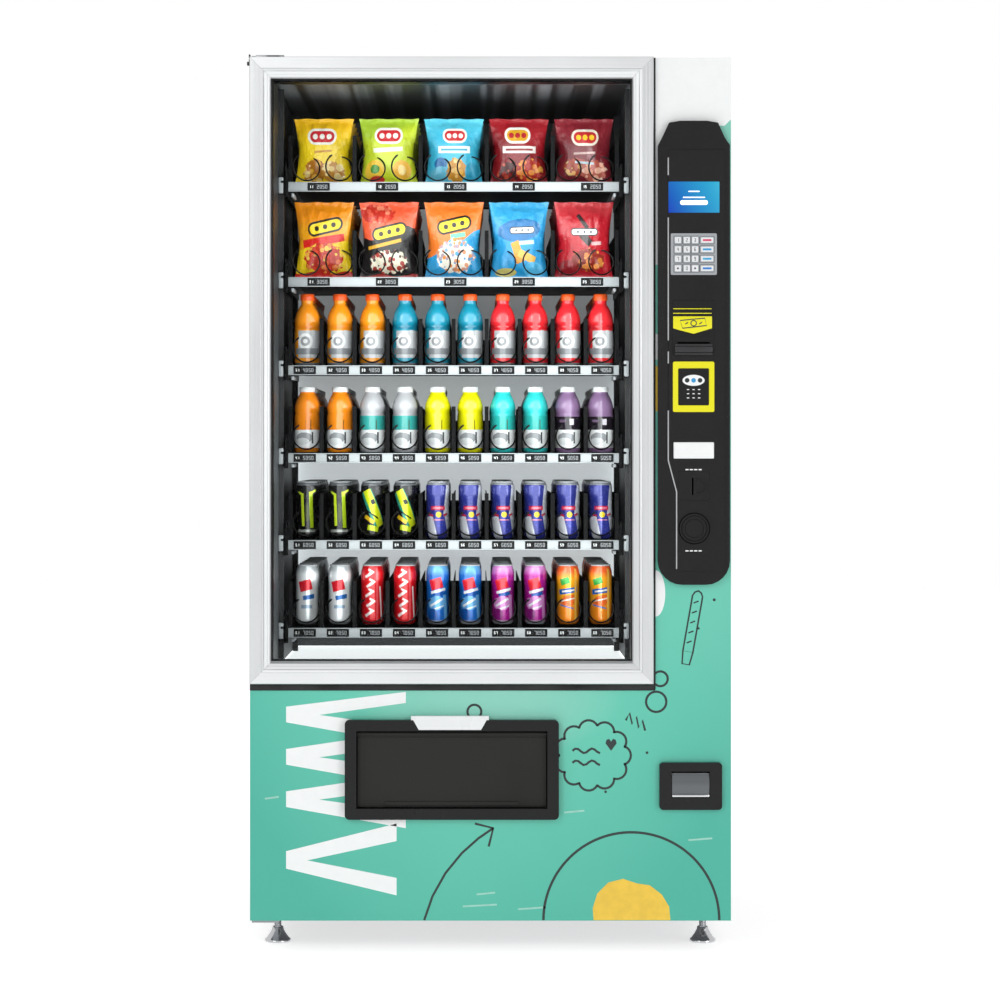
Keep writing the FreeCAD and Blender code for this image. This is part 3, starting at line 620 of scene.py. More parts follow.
NODE_PAINT = {
    "cabinet_shell": COAT_CABINET, "inner_liner": LINER_PAINTED_LIGHT, "tray_uprights": COAT_UPRIGHT,
    "cooling_unit": COAT_BLACK, "hinge_brackets": ZINC, "door_frame": COAT_BLACK,
    "door_liner": COAT_DOOR_LINER, "front_panel": WRAP, "glass_panes": GLASS,
    "delivery_frame": GLOSS_BLACK, "delivery_flap": FLAP_BLACK, "delivery_bin": COAT_BLACK,
    "delivery_tab": WHITE_PLASTIC, "payment_panel": PANEL_BLACK, "keypad_plate": PLATE_STEEL,
    "bill_acceptor": GLOSS_BLACK, "card_reader": YELLOW_PLASTIC, "coin_entry": PANEL_BLACK,
    "refund_button": PANEL_BLACK, "coin_cup": GLOSS_BLACK, "coin_flap": PLATE_STEEL,
}
for number in range(1, 7):
    NODE_PAINT["tray_%d" % number] = COAT_TRAY
for number in range(1, 17):
    NODE_PAINT["key_%02d" % number] = KEY_STEEL
for node_name, paint in NODE_PAINT.items():
    node_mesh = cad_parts[node_name].data
    node_mesh.materials.clear()
    node_mesh.materials.append(paint)
print(len(bpy.data.materials), "materials,", len(NODE_PAINT), "nodes painted")

# %% Floor
floor_paint = Paint("studio_floor", "#FFFFFF", 0.6)
floor_paint.set("Emission Color", (1, 1, 1, 1))
floor_paint.set("Emission Strength", 0.6)
floor_mesh = bmesh.new()
bmesh.ops.create_grid(floor_mesh, x_segments=2, y_segments=2, size=14)
floor_data = bpy.data.meshes.new("studio_floor")
floor_mesh.to_mesh(floor_data)
floor_mesh.free()
floor_data.materials.append(floor_paint.material)
floor = bpy.data.objects.new("studio_floor", floor_data)
scene.collection.objects.link(floor)

# %% [markdown]
# ## The door
#
# The window moulding is four drawn lengths with mitred corners. Each length has lines
# along its own run, and a hairline gap shows at every mitre.

# %% Window moulding
# The moulding's section, in mm: inward from its outer edge, and back from its front.
MOULDING = [(0, 19), (0, 3.2), (1.4, 1.6), (8, 1.4), (8.4, 1.6), (8.8, 1.4), (16, 1.4),
            (16.4, 1.6), (16.8, 1.4), (23.6, 1.5), (24.8, 2.2), (26, 1.0), (28.4, 0),
            (30.6, 0.5), (32, 2.4), (38, 5.6), (38.8, 6.4), (43.4, 9), (46, 12.2), (46, 19)]
MOULDING_WIDE = 46 * MM
HAIRLINE = 0.12 * MM
# Painted light: the level lengths are a lighter grey than the uprights, as lit and shaded
# copies of one brushed aluminium.
FRAME_UPRIGHTS_SHADED = brushed("moulding_upright", "#D9DBDC", 0.42, 2, lines=1400)
FRAME_LEVELS_LIT = brushed("moulding_level", "#EAECED", 0.42, 0, lines=1400)


def moulding_corners(inward, back):
    """The four corners of a line that runs round the window."""
    y = GLASS_LOW.y + back
    return [Vector((GLASS_LOW.x + inward, y, GLASS_LOW.z + inward)),
            Vector((GLASS_HIGH.x - inward, y, GLASS_LOW.z + inward)),
            Vector((GLASS_HIGH.x - inward, y, GLASS_HIGH.z - inward)),
            Vector((GLASS_LOW.x + inward, y, GLASS_HIGH.z - inward))]


def moulding_side(side, name):
    """One length with mitred ends: side 0 is the bottom, then right, top and left."""
    bm = bmesh.new()
    far = (side + 1) % 4
    starts = []
    ends = []
    for inward, back in MOULDING:
        corners = moulding_corners(inward * MM, back * MM)
        hairline = (corners[far] - corners[side]).normalized() * HAIRLINE
        starts.append(bm.verts.new(corners[side] + hairline))
        ends.append(bm.verts.new(corners[far] - hairline))
    count = len(MOULDING)
    for n in range(count):
        m = (n + 1) % count
        bm.faces.new([starts[n], ends[n], ends[m], starts[m]])
    bm.faces.new(starts)
    bm.faces.new(ends[::-1])
    # The level lengths take the lighter grey and the uprights the darker, as painted light.
    paint = FRAME_LEVELS_LIT if side % 2 == 0 else FRAME_UPRIGHTS_SHADED
    return finish_mesh(name, bm, paint, "door")


for side, name in enumerate(("moulding_bottom", "moulding_right", "moulding_top",
                             "moulding_left")):
    piece = moulding_side(side, name)
    if side == 0:
        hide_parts("glass_frame")

# %% [markdown]
# ## Seals
#
# A rubber bead holds the pane inside the moulding, and black strips close the joint below
# and beside it. Each is a plain bar with soft edges, so blocks with a bevel are enough.

# %% Seals round the window
bm = bmesh.new()
inner = [GLASS_LOW.x + MOULDING_WIDE, GLASS_HIGH.x - MOULDING_WIDE,
         GLASS_LOW.z + MOULDING_WIDE, GLASS_HIGH.z - MOULDING_WIDE]
bead_y = (SKIN_Y - 3.4 * MM, SKIN_Y + 1.5 * MM)
add_block(bm, (inner[0], inner[1]), bead_y, (inner[2], inner[2] + 3 * MM), 0.8 * MM,
          material=1)
add_block(bm, (inner[0], inner[1]), bead_y, (inner[3] - 3 * MM, inner[3]), 0.8 * MM)
for x0 in (inner[0], inner[1] - 3 * MM):
    add_block(bm, (x0, x0 + 3 * MM), bead_y, (inner[2] + 3 * MM, inner[3] - 3 * MM), 0.8 * MM)
finish_mesh("window_bead", bm, [RUBBER, RAIL_WHITE], "door", smooth=40)

bm = bmesh.new()
sill = (GLASS_LOW.z - 13 * MM, GLASS_LOW.z)
add_block(bm, (GLASS_LOW.x, GLASS_HIGH.x + 1 * MM), (SKIN_Y - 5.6 * MM, SKIN_Y),
          (sill[0] + 1 * MM, sill[1] - 0.5 * MM), 1.6 * MM)
add_block(bm, (GLASS_LOW.x, GLASS_HIGH.x + 4 * MM), (SKIN_Y - 3 * MM, SKIN_Y - 0.1 * MM),
          (sill[0] - 2 * MM, sill[0] + 0.5 * MM), 0.6 * MM)
add_block(bm, (GLASS_HIGH.x + 0.6 * MM, COLUMN_LEFT - 0.4 * MM),
          (SKIN_Y - 0.5 * MM, SKIN_Y + 1 * MM), (sill[0], GLASS_HIGH.z - 1 * MM), 0.3 * MM)
finish_mesh("window_seals", bm, RUBBER, "door", smooth=40)

# %% [markdown]
# ## The printed film
#
# The film's artwork is abstract: a white zigzag band, a thought bubble with its rings,
# arcs, a yellow patch and small doodles. Each colour is one thin layer on the sheet, cut
# as flat shapes, because a drawn shape stays sharp at any distance. All points are in mm.

# %% Artwork on the film
INK_Y = SKIN_Y - 0.15 * MM
INK_BACK = SKIN_Y - 0.02 * MM
INK_STEP = 0.05 * MM


def finish_ink(bm, name, paint):
    """Lays one colour of the artwork on the door's sheet."""
    finish_mesh(name, bm, paint, "door")


def scaled(points):
    """(x, z) points in millimetres as metres."""
    return [(x * MM, z * MM) for x, z in points]


def patch(bm, points, layer=0):
    """Adds a filled shape. Layer 1 lies just over layer 0."""
    add_slab(bm, scaled(points), INK_BACK, INK_Y - layer * INK_STEP)


def line(bm, points, width, closed=False):
    """Adds a drawn line on layer 1."""
    add_stroke(bm, scaled(points), width * MM, INK_BACK, INK_Y - INK_STEP, closed)


def clipped(points, floor):
    """Keeps points from going below the sheet's edge."""
    return [(x, max(z, floor)) for x, z in points]


def cut_window(bm, low_x, high_x, low_z, high_z):
    """Cuts a rectangle out of a layer, where the sheet has its opening."""
    bmesh.ops.triangulate(bm, faces=bm.faces[:])
    for place, way in (((low_x, 0, 0), (1, 0, 0)), ((high_x, 0, 0), (1, 0, 0)),
                       ((0, 0, low_z), (0, 0, 1)), ((0, 0, high_z), (0, 0, 1))):
        bmesh.ops.bisect_plane(bm, geom=bm.verts[:] + bm.edges[:] + bm.faces[:],
                               plane_co=place, plane_no=way)
    inside = []
    for face in bm.faces:
        middle = face.calc_center_median()
        if low_x < middle.x < high_x and low_z < middle.z < high_z:
            inside.append(face)
    bmesh.ops.delete(bm, geom=inside, context="FACES")


bottom = SKIN_BOTTOM / MM
white = bmesh.new()
band = [(-204, 120), (-204, 158), (-398, 196), (-204, 238), (-204, 276), (-444, 216),
        (-444, 178)]
patch(white, band)
BAND_TOP = 562
for step in range(3):
    lift = step * 92 + 262
    chevron = [(-184, lift + 4), (-184, lift + 40), (-372, lift + 66), (-184, lift + 92),
               (-184, lift + 122), (-444, lift + 84), (-444, lift + 50)]
    patch(white, [(x, min(z, BAND_TOP)) for x, z in chevron])
column = (COLUMN_LEFT / MM, SKIN_HIGH.x / MM)
panel = (PANEL_LOW.x / MM, PANEL_HIGH.x / MM)
patch(white, [(column[0], 1490), (panel[0] + 3, 1490), (panel[0] + 3, 1700), (400, 1760),
              (480, 1792), (column[1] - 14, 1792), (column[1], 1806), (column[1], 1940),
              (column[0], 1940)])
patch(white, [(column[0], 1284), (panel[0] + 2, 1284), (panel[0] + 2, 1340),
              (column[0], 1340)])
patch(white, circle(column[0], 776, 21, -90, 90, 20, squash=2.4))
HATCH_RIM = 12 * MM
HATCH_OPENING_TOP = 490 * MM
cut_window(white, HATCH_LOW.x + HATCH_RIM, HATCH_HIGH.x - HATCH_RIM, HATCH_LOW.z + HATCH_RIM,
           HATCH_OPENING_TOP)
finish_ink(white, "film_white", INK_WHITE)

# %% Dark lines
dark = bmesh.new()
line(dark, clipped(circle(306, 66, 191, 0, 180, 56), bottom + 1), 5.5)
swoop = [(-144, 66), (-126, 118), (-98, 168), (-62, 212), (-26, 244), (6, 266)]
line(dark, swoop, 5)
line(dark, [(-34, 276), (6, 266), (-4, 226)], 5)
for x, z, radius in ((360, 540.5, 22), (369, 590.5, 16), (-35, 519, 15)):
    line(dark, circle(x, z, radius, count=32), 5, closed=True)
wiggle = [(294, 500), (302, 516), (308, 492), (317, 508), (322, 484), (330, 500), (336, 478)]
line(dark, wiggle, 5)
bubble = []
for n in range(11):
    a = 360 / 11 * n
    middle = (222 + 62 * math.cos(math.radians(a)), 424 + 56 * math.sin(math.radians(a)))
    bubble += circle(middle[0], middle[1], 21, a - 72, a + 72, 9)
line(dark, bubble, 5, closed=True)
heart = [(262, 434), (250, 450), (252, 458), (258, 460), (262, 454), (266, 460), (272, 458),
         (274, 450)]
patch(dark, heart, layer=1)
for lift in (0, 26):
    wave = [(178 + 6 * n, 408 + lift + 5 * math.sin(n * 1.1)) for n in range(11)]
    line(dark, wave, 5)
slant = Vector((28, 160)).normalized()
across = Vector((slant.y, -slant.x))


def pen_point(along, side):
    return (424 + slant.x * along + across.x * side, 622 + slant.y * along + across.y * side)


pen = [pen_point(*p) for p in ((28, -11), (150, -11), (158, -7), (162, 0), (158, 7),
                               (150, 11), (28, 11))]
line(dark, pen, 3.6, closed=True)
line(dark, [pen_point(28, -11), pen_point(0, -8), pen_point(0, 8), pen_point(28, 11)], 3.6)
for n in range(5):
    line(dark, [pen_point(46 + 22 * n, -6), pen_point(52 + 22 * n, 4)], 3)
for x, z, radius in ((486, 762, 3.4), (452, 700, 2.6), (418, 800, 2.6), (250, 345, 3),
                     (340, 430, 3)):
    patch(dark, circle(x, z, radius, count=12), layer=1)
finish_ink(dark, "film_lines", INK_DARK)

# %% Yellow and pale shapes
yellow = bmesh.new()
hill = [(224, 66), (222, 92), (232, 124), (256, 148), (288, 156), (318, 146), (346, 142),
        (372, 122), (388, 96), (391, 66)]
patch(yellow, hill)
patch(yellow, [(column[0], 1172), (panel[0] + 2, 1172), (panel[0] + 2, 1270),
               (column[0], 1270)])
finish_ink(yellow, "film_yellow", INK_YELLOW)

pale = bmesh.new()
for x, z, length in ((-60, 96, 74), (-30, 122, 40), (60, 90, 60), (430, 240, 52),
                     (160, 300, 44), (-490, 330, 30)):
    line(pale, [(x, z), (x + length, z + 4)], 4)
finish_ink(pale, "film_pale", INK_PALE)

# %% [markdown]
# ## Hinge trim and feet
#
# A zinc cover hides the upper hinge. It stays on the cabinet, and the small black stop
# beside it swings with the door, so the two are separate pieces. The feet are turned and
# plated: a broad pad, a threaded stem and a hexagonal nut, each made by turning an outline.

# %% Door and cabinet trim
bm = bmesh.new()
left = SKIN_LOW.x + 12 * MM
level = SKIN_HIGH.z + 0.4 * MM
add_block(bm, (left, left + 62 * MM), (SKIN_Y + 4 * MM, SKIN_Y + 30 * MM),
          (level, level + 6 * MM), 1.4 * MM)
add_block(bm, (left + 24 * MM, left + 52 * MM), (SKIN_Y + 3.2 * MM, SKIN_Y + 5 * MM),
          (level + 1.4 * MM, level + 4.6 * MM), 1 * MM, material=1)
add_block(bm, (left - 16 * MM, left - 12.6 * MM), (SKIN_Y + 14 * MM, SKIN_Y + 24 * MM),
          (level + 0.4 * MM, level + 9 * MM), 1 * MM, material=1)
add_block(bm, (left - 14 * MM, left + 2 * MM), (SKIN_Y + 14 * MM, SKIN_Y + 24 * MM),
          (level + 0.4 * MM, level + 4 * MM), 1 * MM, material=1)
finish_mesh("hinge_cover", bm, [ZINC, COAT_BLACK], "cabinet", smooth=40)
bm = bmesh.new()
add_block(bm, (left - 20 * MM, left - 12 * MM), (SKIN_Y + 14 * MM, SKIN_Y + 24 * MM),
          (level - 15 * MM, level - 7 * MM), 1.4 * MM)
add_block(bm, (left - 16 * MM, left - 12.6 * MM), (SKIN_Y + 14 * MM, SKIN_Y + 24 * MM),
          (level - 8 * MM, level - 1.4 * MM), 1 * MM)
finish_mesh("hinge_stop", bm, COAT_BLACK, "door", smooth=40)

# %% Levelling feet
FOOT_RADIUS = 29 * MM
feet_low, feet_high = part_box("levelling_feet")
bm = bmesh.new()
for x in (feet_low.x + FOOT_RADIUS, feet_high.x - FOOT_RADIUS):
    for y in (feet_low.y + FOOT_RADIUS, feet_high.y - FOOT_RADIUS):
        pad = [(0, 0), (27.5, 0), (29, 1.2), (29, 5.5), (28, 7.2), (25.5, 8.6), (18, 19),
               (13.5, 28), (12.2, 33), (10.5, 34.6), (9, 35)]
        thread = []
        for n in range(13):
            thread += [(7.2, 35.2 + n * 1.6), (8.0, 36.0 + n * 1.6)]
        nut = [(8.0, 56), (13.5, 56.2), (14, 56.8), (14, 63.6), (13.4, 64.4), (0, 65)]
        outline = [(r * MM, h * MM) for r, h in pad + thread[:-1]]
        lathe(bm, outline + [(8.0 * MM, 55.8 * MM)], (x, y, 0), 40)
        lathe(bm, [(r * MM, h * MM) for r, h in nut], (x, y, 0), 6)
        lathe(bm, [(h * MM, v * MM) for h, v in ((17, 54.6), (17, 56), (8, 56))], (x, y, 0), 40)
finish_mesh("foot_pads", bm, CHROME, "cabinet", ["levelling_feet"], smooth=35)

# %% [markdown]
# ## The control column
#
# The fascia, keys and modules come from the frame. The next cells add what is printed, lit
# or fitted on them. Digits are drawn with seven bars, so that no font is needed.

# %% Generic digits
SEGMENTS = ("abcdef", "bc", "abged", "abgcd", "fgbc", "afgcd", "afgedc", "abc", "abcdefg",
            "abcdfg")


def add_digit(bm, digit, x, z, size, y, thick, material=0):
    """Adds one seven-bar digit, centred on x and z and size high."""
    w = size * 0.5     # width of the digit
    t = size * 0.13    # thickness of a bar
    bars = {"a": (-w / 2, w / 2, size / 2 - t, size / 2), "g": (-w / 2, w / 2, -t / 2, t / 2),
            "d": (-w / 2, w / 2, -size / 2, -size / 2 + t),
            "f": (-w / 2, -w / 2 + t, 0, size / 2), "b": (w / 2 - t, w / 2, 0, size / 2),
            "e": (-w / 2, -w / 2 + t, -size / 2, 0), "c": (w / 2 - t, w / 2, -size / 2, 0)}
    for bar in SEGMENTS[digit]:
        x0, x1, z0, z1 = bars[bar]
        corners = [(x + x0, z + z0), (x + x1, z + z0), (x + x1, z + z1), (x + x0, z + z1)]
        face = bm.faces.new([bm.verts.new((u, y - thick, v)) for u, v in corners])
        face.material_index = material


def rounded_outline(x0, x1, z0, z1, radius, count=6):
    """Outline of a rectangle with round corners, count points on each."""
    points = []
    for cx, cz, start in ((x1 - radius, z0 + radius, 270), (x1 - radius, z1 - radius, 0),
                          (x0 + radius, z1 - radius, 90), (x0 + radius, z0 + radius, 180)):
        points += circle(cx, cz, radius, start, start + 90, count)
    return points


# %% [markdown]
# ## Display and keys
#
# The display is a backlit glass pane. Its blue glow rises from one corner to the other, and
# plain bars stand for what it shows. Each key carries a plain digit or, in the wide column,
# a coloured bar, and a dark line round it is painted shade in its well. The marks ride on
# their keys.

# %% Display
def display_paint():
    """Backlit blue, paler towards the upper right."""
    paint = Paint("display_glow", "#1656D8", 0.2, shine=0.2)
    x, y, z = paint.axes()
    low_corner, high_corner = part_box("screen")
    share = (x + z * 0.5).ramp(low_corner.x + low_corner.z * 0.5,
                               high_corner.x + high_corner.z * 0.5)
    color = paint.mix(share, "#0B46D2", "#2FC4EC")
    paint.link(paint.mix(share, "#04122E", "#0A3C4C"), "Base Color")
    paint.link(color, "Emission Color")
    paint.set("Emission Strength", 0.72)
    return paint.material


low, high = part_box("screen")
bm = bmesh.new()
add_slab(bm, rounded_outline(low.x, high.x, low.z, high.z, 2 * MM), low.y + 8 * MM,
         low.y - 0.6 * MM, edge=0.5 * MM)
DISPLAY = display_paint()
GLOW_WHITE = glow("display_white", "#F4FAFF", 0.8)
middle_x = middle_of("screen")[0]
pill = rounded_outline(middle_x - 30 * MM, middle_x + 30 * MM, low.z + 17 * MM, low.z + 27 * MM,
                       4.5 * MM)
add_slab(bm, pill, low.y - 0.6 * MM, low.y - 0.7 * MM, material=1)
for half, lift in ((24, 32), (12, 45)):
    add_slab(bm, rounded_outline(middle_x - half * MM, middle_x + half * MM,
                                 low.z + lift * MM, low.z + (lift + 2.4) * MM, 0.9 * MM),
             low.y - 0.6 * MM, low.y - 0.7 * MM, material=1)
finish_mesh("display", bm, [DISPLAY, GLOW_WHITE], "door", ["screen"], smooth=40)

# %% Key marks
KEY_INK = film_ink("key_ink", "#33373C")
BAR_COLORS = ("#D8486A", "#2F9CD8", "#36A9DC", "#2C7FD0")
BAR_INKS = [film_ink("key_bar_%d" % n, code) for n, code in enumerate(BAR_COLORS)]
plate_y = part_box("keypad_plate")[0].y
# Painted shade: a dark ring round each key stands for the shade in its well.
wells = bmesh.new()
for number in range(1, 17):
    low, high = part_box("key_%02d" % number)
    add_stroke(wells, rounded_outline(low.x - 0.9 * MM, high.x + 0.9 * MM, low.z - 0.9 * MM,
                                      high.z + 0.9 * MM, 2 * MM, 4),
               1.1 * MM, plate_y, plate_y - 0.1 * MM, closed=True)
    x, z = middle_of("key_%02d" % number)
    row, column_number = divmod(number - 1, 4)
    bm = bmesh.new()
    if column_number == 3:
        half = 9.5 * MM
        add_slab(bm, rounded_outline(x - half, x + half, z - 2.2 * MM, z + 2.2 * MM, 1.2 * MM),
                 low.y, low.y - 0.08 * MM)
        paint = BAR_INKS[row]
    else:
        digit = (row * 3 + column_number + 1) % 10
        if number in (13, 15):
            add_slab(bm, circle(x, z, 2.2 * MM, count=16), low.y, low.y - 0.08 * MM)
        else:
            add_digit(bm, 0 if number == 14 else digit, x, z, 7.5 * MM, low.y, 0.08 * MM)
        paint = KEY_INK
    finish_mesh("key_mark_%02d" % number, bm, paint, "key_%02d" % number)
finish_mesh("key_wells", wells, film_ink("well_shade", "#5D6064"), "door")

# %% [markdown]
# ## Acceptor, card reader and fascia
#
# The acceptor is a moulded yellow shield with two bars over it and a grey chin with the
# slot. The card reader's black window has a plain oval badge and rows of bars. The fascia
# has a painted highlight, a fine light line down the left edge of its raised face. Its
# grooves are only a millimetre or two wide, so they are black rings of painted shade laid on
# the surface.

# %% Banknote acceptor
FASCIA_FACE = SKIN_Y - 17 * MM
FASCIA_EDGE = SKIN_Y - 16 * MM
low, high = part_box("bill_acceptor")
face_y = FASCIA_FACE
x0 = low.x
x1 = high.x
chin = low.z
CHIN_GREY = moulding("chin_grey", "#303032", 0.4, shine=0.3)
bm = bmesh.new()
for lift in (107.7, 97.9):
    add_block(bm, (x0 + 0.4 * MM, x1 - 6 * MM), (face_y - 0.6 * MM, face_y + 0.6 * MM),
              (chin + lift * MM, chin + (lift + 1.8) * MM), 0.3 * MM)
plate_x = (x0 + 0.4 * MM, x1 - 5 * MM)
plate_top = chin + 92.3 * MM
shield = [(plate_x[0], plate_top - 26 * MM), (plate_x[0] + 10 * MM, plate_top - 29 * MM),
          ((x0 + x1) / 2, plate_top - 38 * MM), (plate_x[1] - 10 * MM, plate_top - 29 * MM),
          (plate_x[1], plate_top - 26 * MM), (plate_x[1], plate_top), (plate_x[0], plate_top)]
add_slab(bm, shield, face_y + 1.6 * MM, face_y - 0.4 * MM, edge=0.6 * MM)
finish_mesh("acceptor_yellow", bm, YELLOW_PLASTIC, "door", smooth=40)
bm = bmesh.new()
note = [((x0 + x1) / 2 + dx * MM, plate_top + dz * MM)
        for dx, dz in ((-29, -9), (24, -4), (28, -20), (-24, -26))]
add_stroke(bm, note, 2.4 * MM, face_y, face_y - 0.5 * MM, closed=True)
add_stroke(bm, circle((x0 + x1) / 2, plate_top - 15 * MM, 6 * MM, count=18), 2.2 * MM, face_y,
           face_y - 0.5 * MM, closed=True)
for dx in (-15, 15):
    add_stroke(bm, [((x0 + x1) / 2 + (dx - 3) * MM, plate_top - 17 * MM),
                    ((x0 + x1) / 2 + (dx + 3) * MM, plate_top - 13 * MM)], 2.4 * MM, face_y,
               face_y - 0.5 * MM)
finish_mesh("acceptor_note", bm, KEY_INK, "door")
bm = bmesh.new()
for lift, tall, reach in ((32.4, 5, 3.4), (27, 13, 5.4), (13.4, 5, 3.6)):
    add_block(bm, (x0 + 4 * MM, x1 - 4 * MM), (face_y - reach * MM, face_y),
              (chin + (lift - tall) * MM, chin + lift * MM), 1.6 * MM)
finish_mesh("acceptor_chin", bm, CHIN_GREY, "door", smooth=40)

# %% Card reader
low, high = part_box("card_reader")
bm = bmesh.new()
window = rounded_outline(low.x + 11.6 * MM, high.x - 11.6 * MM, low.z + 14.6 * MM,
                         high.z - 14.6 * MM, 3 * MM)
reader_y = low.y + 1.9 * MM
add_slab(bm, window, reader_y + 0.4 * MM, reader_y - 0.5 * MM, edge=0.4 * MM)
middle = middle_of("card_reader")
badge = circle(middle[0], middle[1] + 14 * MM, 24 * MM, count=36, squash=0.5)
add_slab(bm, badge, reader_y - 0.5 * MM, reader_y - 0.65 * MM, material=1)
for n in range(3):
    add_slab(bm, circle(middle[0] + (n - 1) * 14 * MM, middle[1] + 14 * MM, 5 * MM, count=20),
             reader_y - 0.6 * MM, reader_y - 0.8 * MM, material=2 + n % 2)
for row in range(3):
    for n in range(3):
        spot = (middle[0] + (n - 1) * 12 * MM, middle[1] - (6 + 9 * row) * MM)
        add_slab(bm, rounded_outline(spot[0] - 2.6 * MM, spot[0] + 2.6 * MM, spot[1] - 1 * MM,
                                     spot[1] + 1 * MM, 0.9 * MM),
                 reader_y - 0.5 * MM, reader_y - 0.65 * MM, material=1)
finish_mesh("reader_face", bm, [GLOSS_BLACK, INK_WHITE, INK_DARK, BAR_INKS[1]], "door")

# %% Fascia details
bm = bmesh.new()
edge_y = FASCIA_EDGE
# Painted highlight: a light line where the left edge of the raised face catches the light.
RIB_X = 385
rib_highlight_runs = ([(RIB_X, 1721), (RIB_X, 1683)], [(RIB_X, 1591), (RIB_X, 1325)],
            [(RIB_X, 1301), (RIB_X, 1275)],
            [(RIB_X, 1173), (RIB_X, 1065), (RIB_X + 18, 997), (RIB_X + 18, 830)])
for run in rib_highlight_runs:
    add_stroke(bm, scaled(run), 2.6 * MM, edge_y, edge_y - 0.25 * MM)
finish_mesh("fascia_line", bm, film_ink("fascia_rib_highlight", "#B4B6B8", 0.25), "door")
bm = bmesh.new()
add_slab(bm, rounded_outline(396.5 * MM, 484 * MM, 1069 * MM, 1104.4 * MM, 2 * MM), edge_y,
         edge_y - 1.4 * MM, edge=0.6 * MM)
add_slab(bm, rounded_outline(398.5 * MM, 482 * MM, 1071 * MM, 1102.4 * MM, 1.4 * MM),
         edge_y - 1.4 * MM, edge_y - 1.6 * MM, material=1)
for z in (1045, 869):
    for n in range(4):
        dash = rounded_outline((422 + 9.5 * n) * MM, (429 + 9.5 * n) * MM, (z - 1.3) * MM,
                               (z + 1.3) * MM, 1 * MM)
        add_slab(bm, dash, edge_y, edge_y - 0.2 * MM, material=1)
finish_mesh("fascia_plate", bm, [WHITE_PLASTIC, INK_WHITE], "door", smooth=40)
# Painted shade: the grooves are near-black rings that stand for the shade in them.
GROOVE_SHADE = moulding("groove_shade", "#030303", 0.8, shine=0.05)
button = middle_of("refund_button")
button_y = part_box("refund_button")[0].y
bm = bmesh.new()
for radius, wide in ((33.2, 2.2), (27.6, 1)):
    add_stroke(bm, circle(button[0], button[1], radius * MM, count=56), wide * MM, FASCIA_FACE,
               FASCIA_FACE - 0.3 * MM, closed=True)
finish_mesh("button_rings", bm, GROOVE_SHADE, "door")
bm = bmesh.new()
add_stroke(bm, circle(button[0], button[1], 20 * MM, count=48), 0.9 * MM, button_y,
           button_y - 0.2 * MM, closed=True)
finish_mesh("button_groove", bm, GROOVE_SHADE, "refund")

# %% [markdown]
# ## Flaps
#
# The coin cup's flap is a bent steel leaf that hangs from a pin and ends in a bright lip.
# Its section is an arc, drawn twice to give the sheet its thickness and joined across. The
# delivery flap gets a raised rim, and its frame a fine groove drawn as a ring of painted shade.

# %% Coin cup flap, curved with a bright lip
CUP_AXIS = 385      # height of the flap's pin, in mm
CUP_LEAF = 47       # from the pin to the leaf's lower end
low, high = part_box("coin_flap")
axis_z = CUP_AXIS * MM
bm = bmesh.new()
width = (low.x + 5.5 * MM, high.x - 5.5 * MM)
arc = [(-4 - 5.2 * math.sin(math.pi * n / 10) - 1.2 * n / 10, CUP_AXIS - CUP_LEAF * n / 10)
       for n in range(11)]
front = [(y * MM + SKIN_Y, z * MM) for y, z in arc]
back = [(y + 1.6 * MM, z) for y, z in front]
section = front + back[::-1]
ends = []
for x in width:
    ends.append([bm.verts.new((x, y, z)) for y, z in section])
join_rings(bm, ends)
bm.faces.new(ends[0])
bm.faces.new(ends[1][::-1])
add_block(bm, width, (SKIN_Y - 9 * MM, SKIN_Y - 3.4 * MM), (334.5 * MM, 339.5 * MM), 1.6 * MM,
          material=1)
add_block(bm, (width[0] - 5 * MM, width[1] + 5 * MM), (SKIN_Y - 5.8 * MM, SKIN_Y - 2.2 * MM),
          (axis_z - 1.8 * MM, axis_z + 1.8 * MM), 1.5 * MM)
FLAP_GREY = brushed("coin_flap_grey", "#6E7174", 0.4, 0)
finish_mesh("coin_flap_curve", bm, [FLAP_GREY, CHROME], "cup_flap",
            ["coin_flap"], smooth=35)

# %% Delivery flap rim and hatch groove
HATCH_TOP = 502 * MM
GROOVE_INSET = 7 * MM
bm = bmesh.new()
low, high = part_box("delivery_flap")
x0 = low.x + 5.5 * MM
x1 = high.x - 5.5 * MM
leaf_y = SKIN_Y - 1 * MM
for x_pair, z_pair in (((x0, x1), (high.z - 14 * MM, high.z - 12 * MM)),
                       ((x0, x1), (low.z + 1 * MM, low.z + 3 * MM)),
                       ((x0, x0 + 2 * MM), (low.z + 3 * MM, high.z - 14 * MM)),
                       ((x1 - 2 * MM, x1), (low.z + 3 * MM, high.z - 14 * MM))):
    add_block(bm, x_pair, (leaf_y - 1.4 * MM, leaf_y + 0.4 * MM), z_pair, 0.6 * MM)
finish_mesh("flap_rim", bm, FLAP_BLACK, "hatch_flap", smooth=40)
# The hatch groove is a near-black ring of painted shade.
bm = bmesh.new()
outline = rounded_outline(HATCH_LOW.x + GROOVE_INSET, HATCH_HIGH.x - GROOVE_INSET,
                          HATCH_LOW.z + GROOVE_INSET, HATCH_TOP - GROOVE_INSET, 7 * MM)
add_stroke(bm, outline, 1.2 * MM, HATCH_LOW.y + 2.2 * MM, HATCH_LOW.y + 1.7 * MM, closed=True)
finish_mesh("hatch_groove", bm, GROOVE_SHADE, "door")


# %% [markdown]
# ## Trays
#
# Every tray carries a pale price rail with black label plates, and side catches. The rail
# is a drawn strip with a lip along each edge, and every label is a thin plate with plain
# digits on it. All of it rides on the tray's slider, so it comes out with the tray.

# %% Price rails
LABEL_BLACK = moulding("label_black", "#050506", 0.45, shine=0.15)
LABEL_GREY = film_ink("label_grey", "#8B8E91")
LABEL_HALF = (25 * MM, 9 * MM)
RAIL_Y = TRAY_FRONT - 1.6 * MM


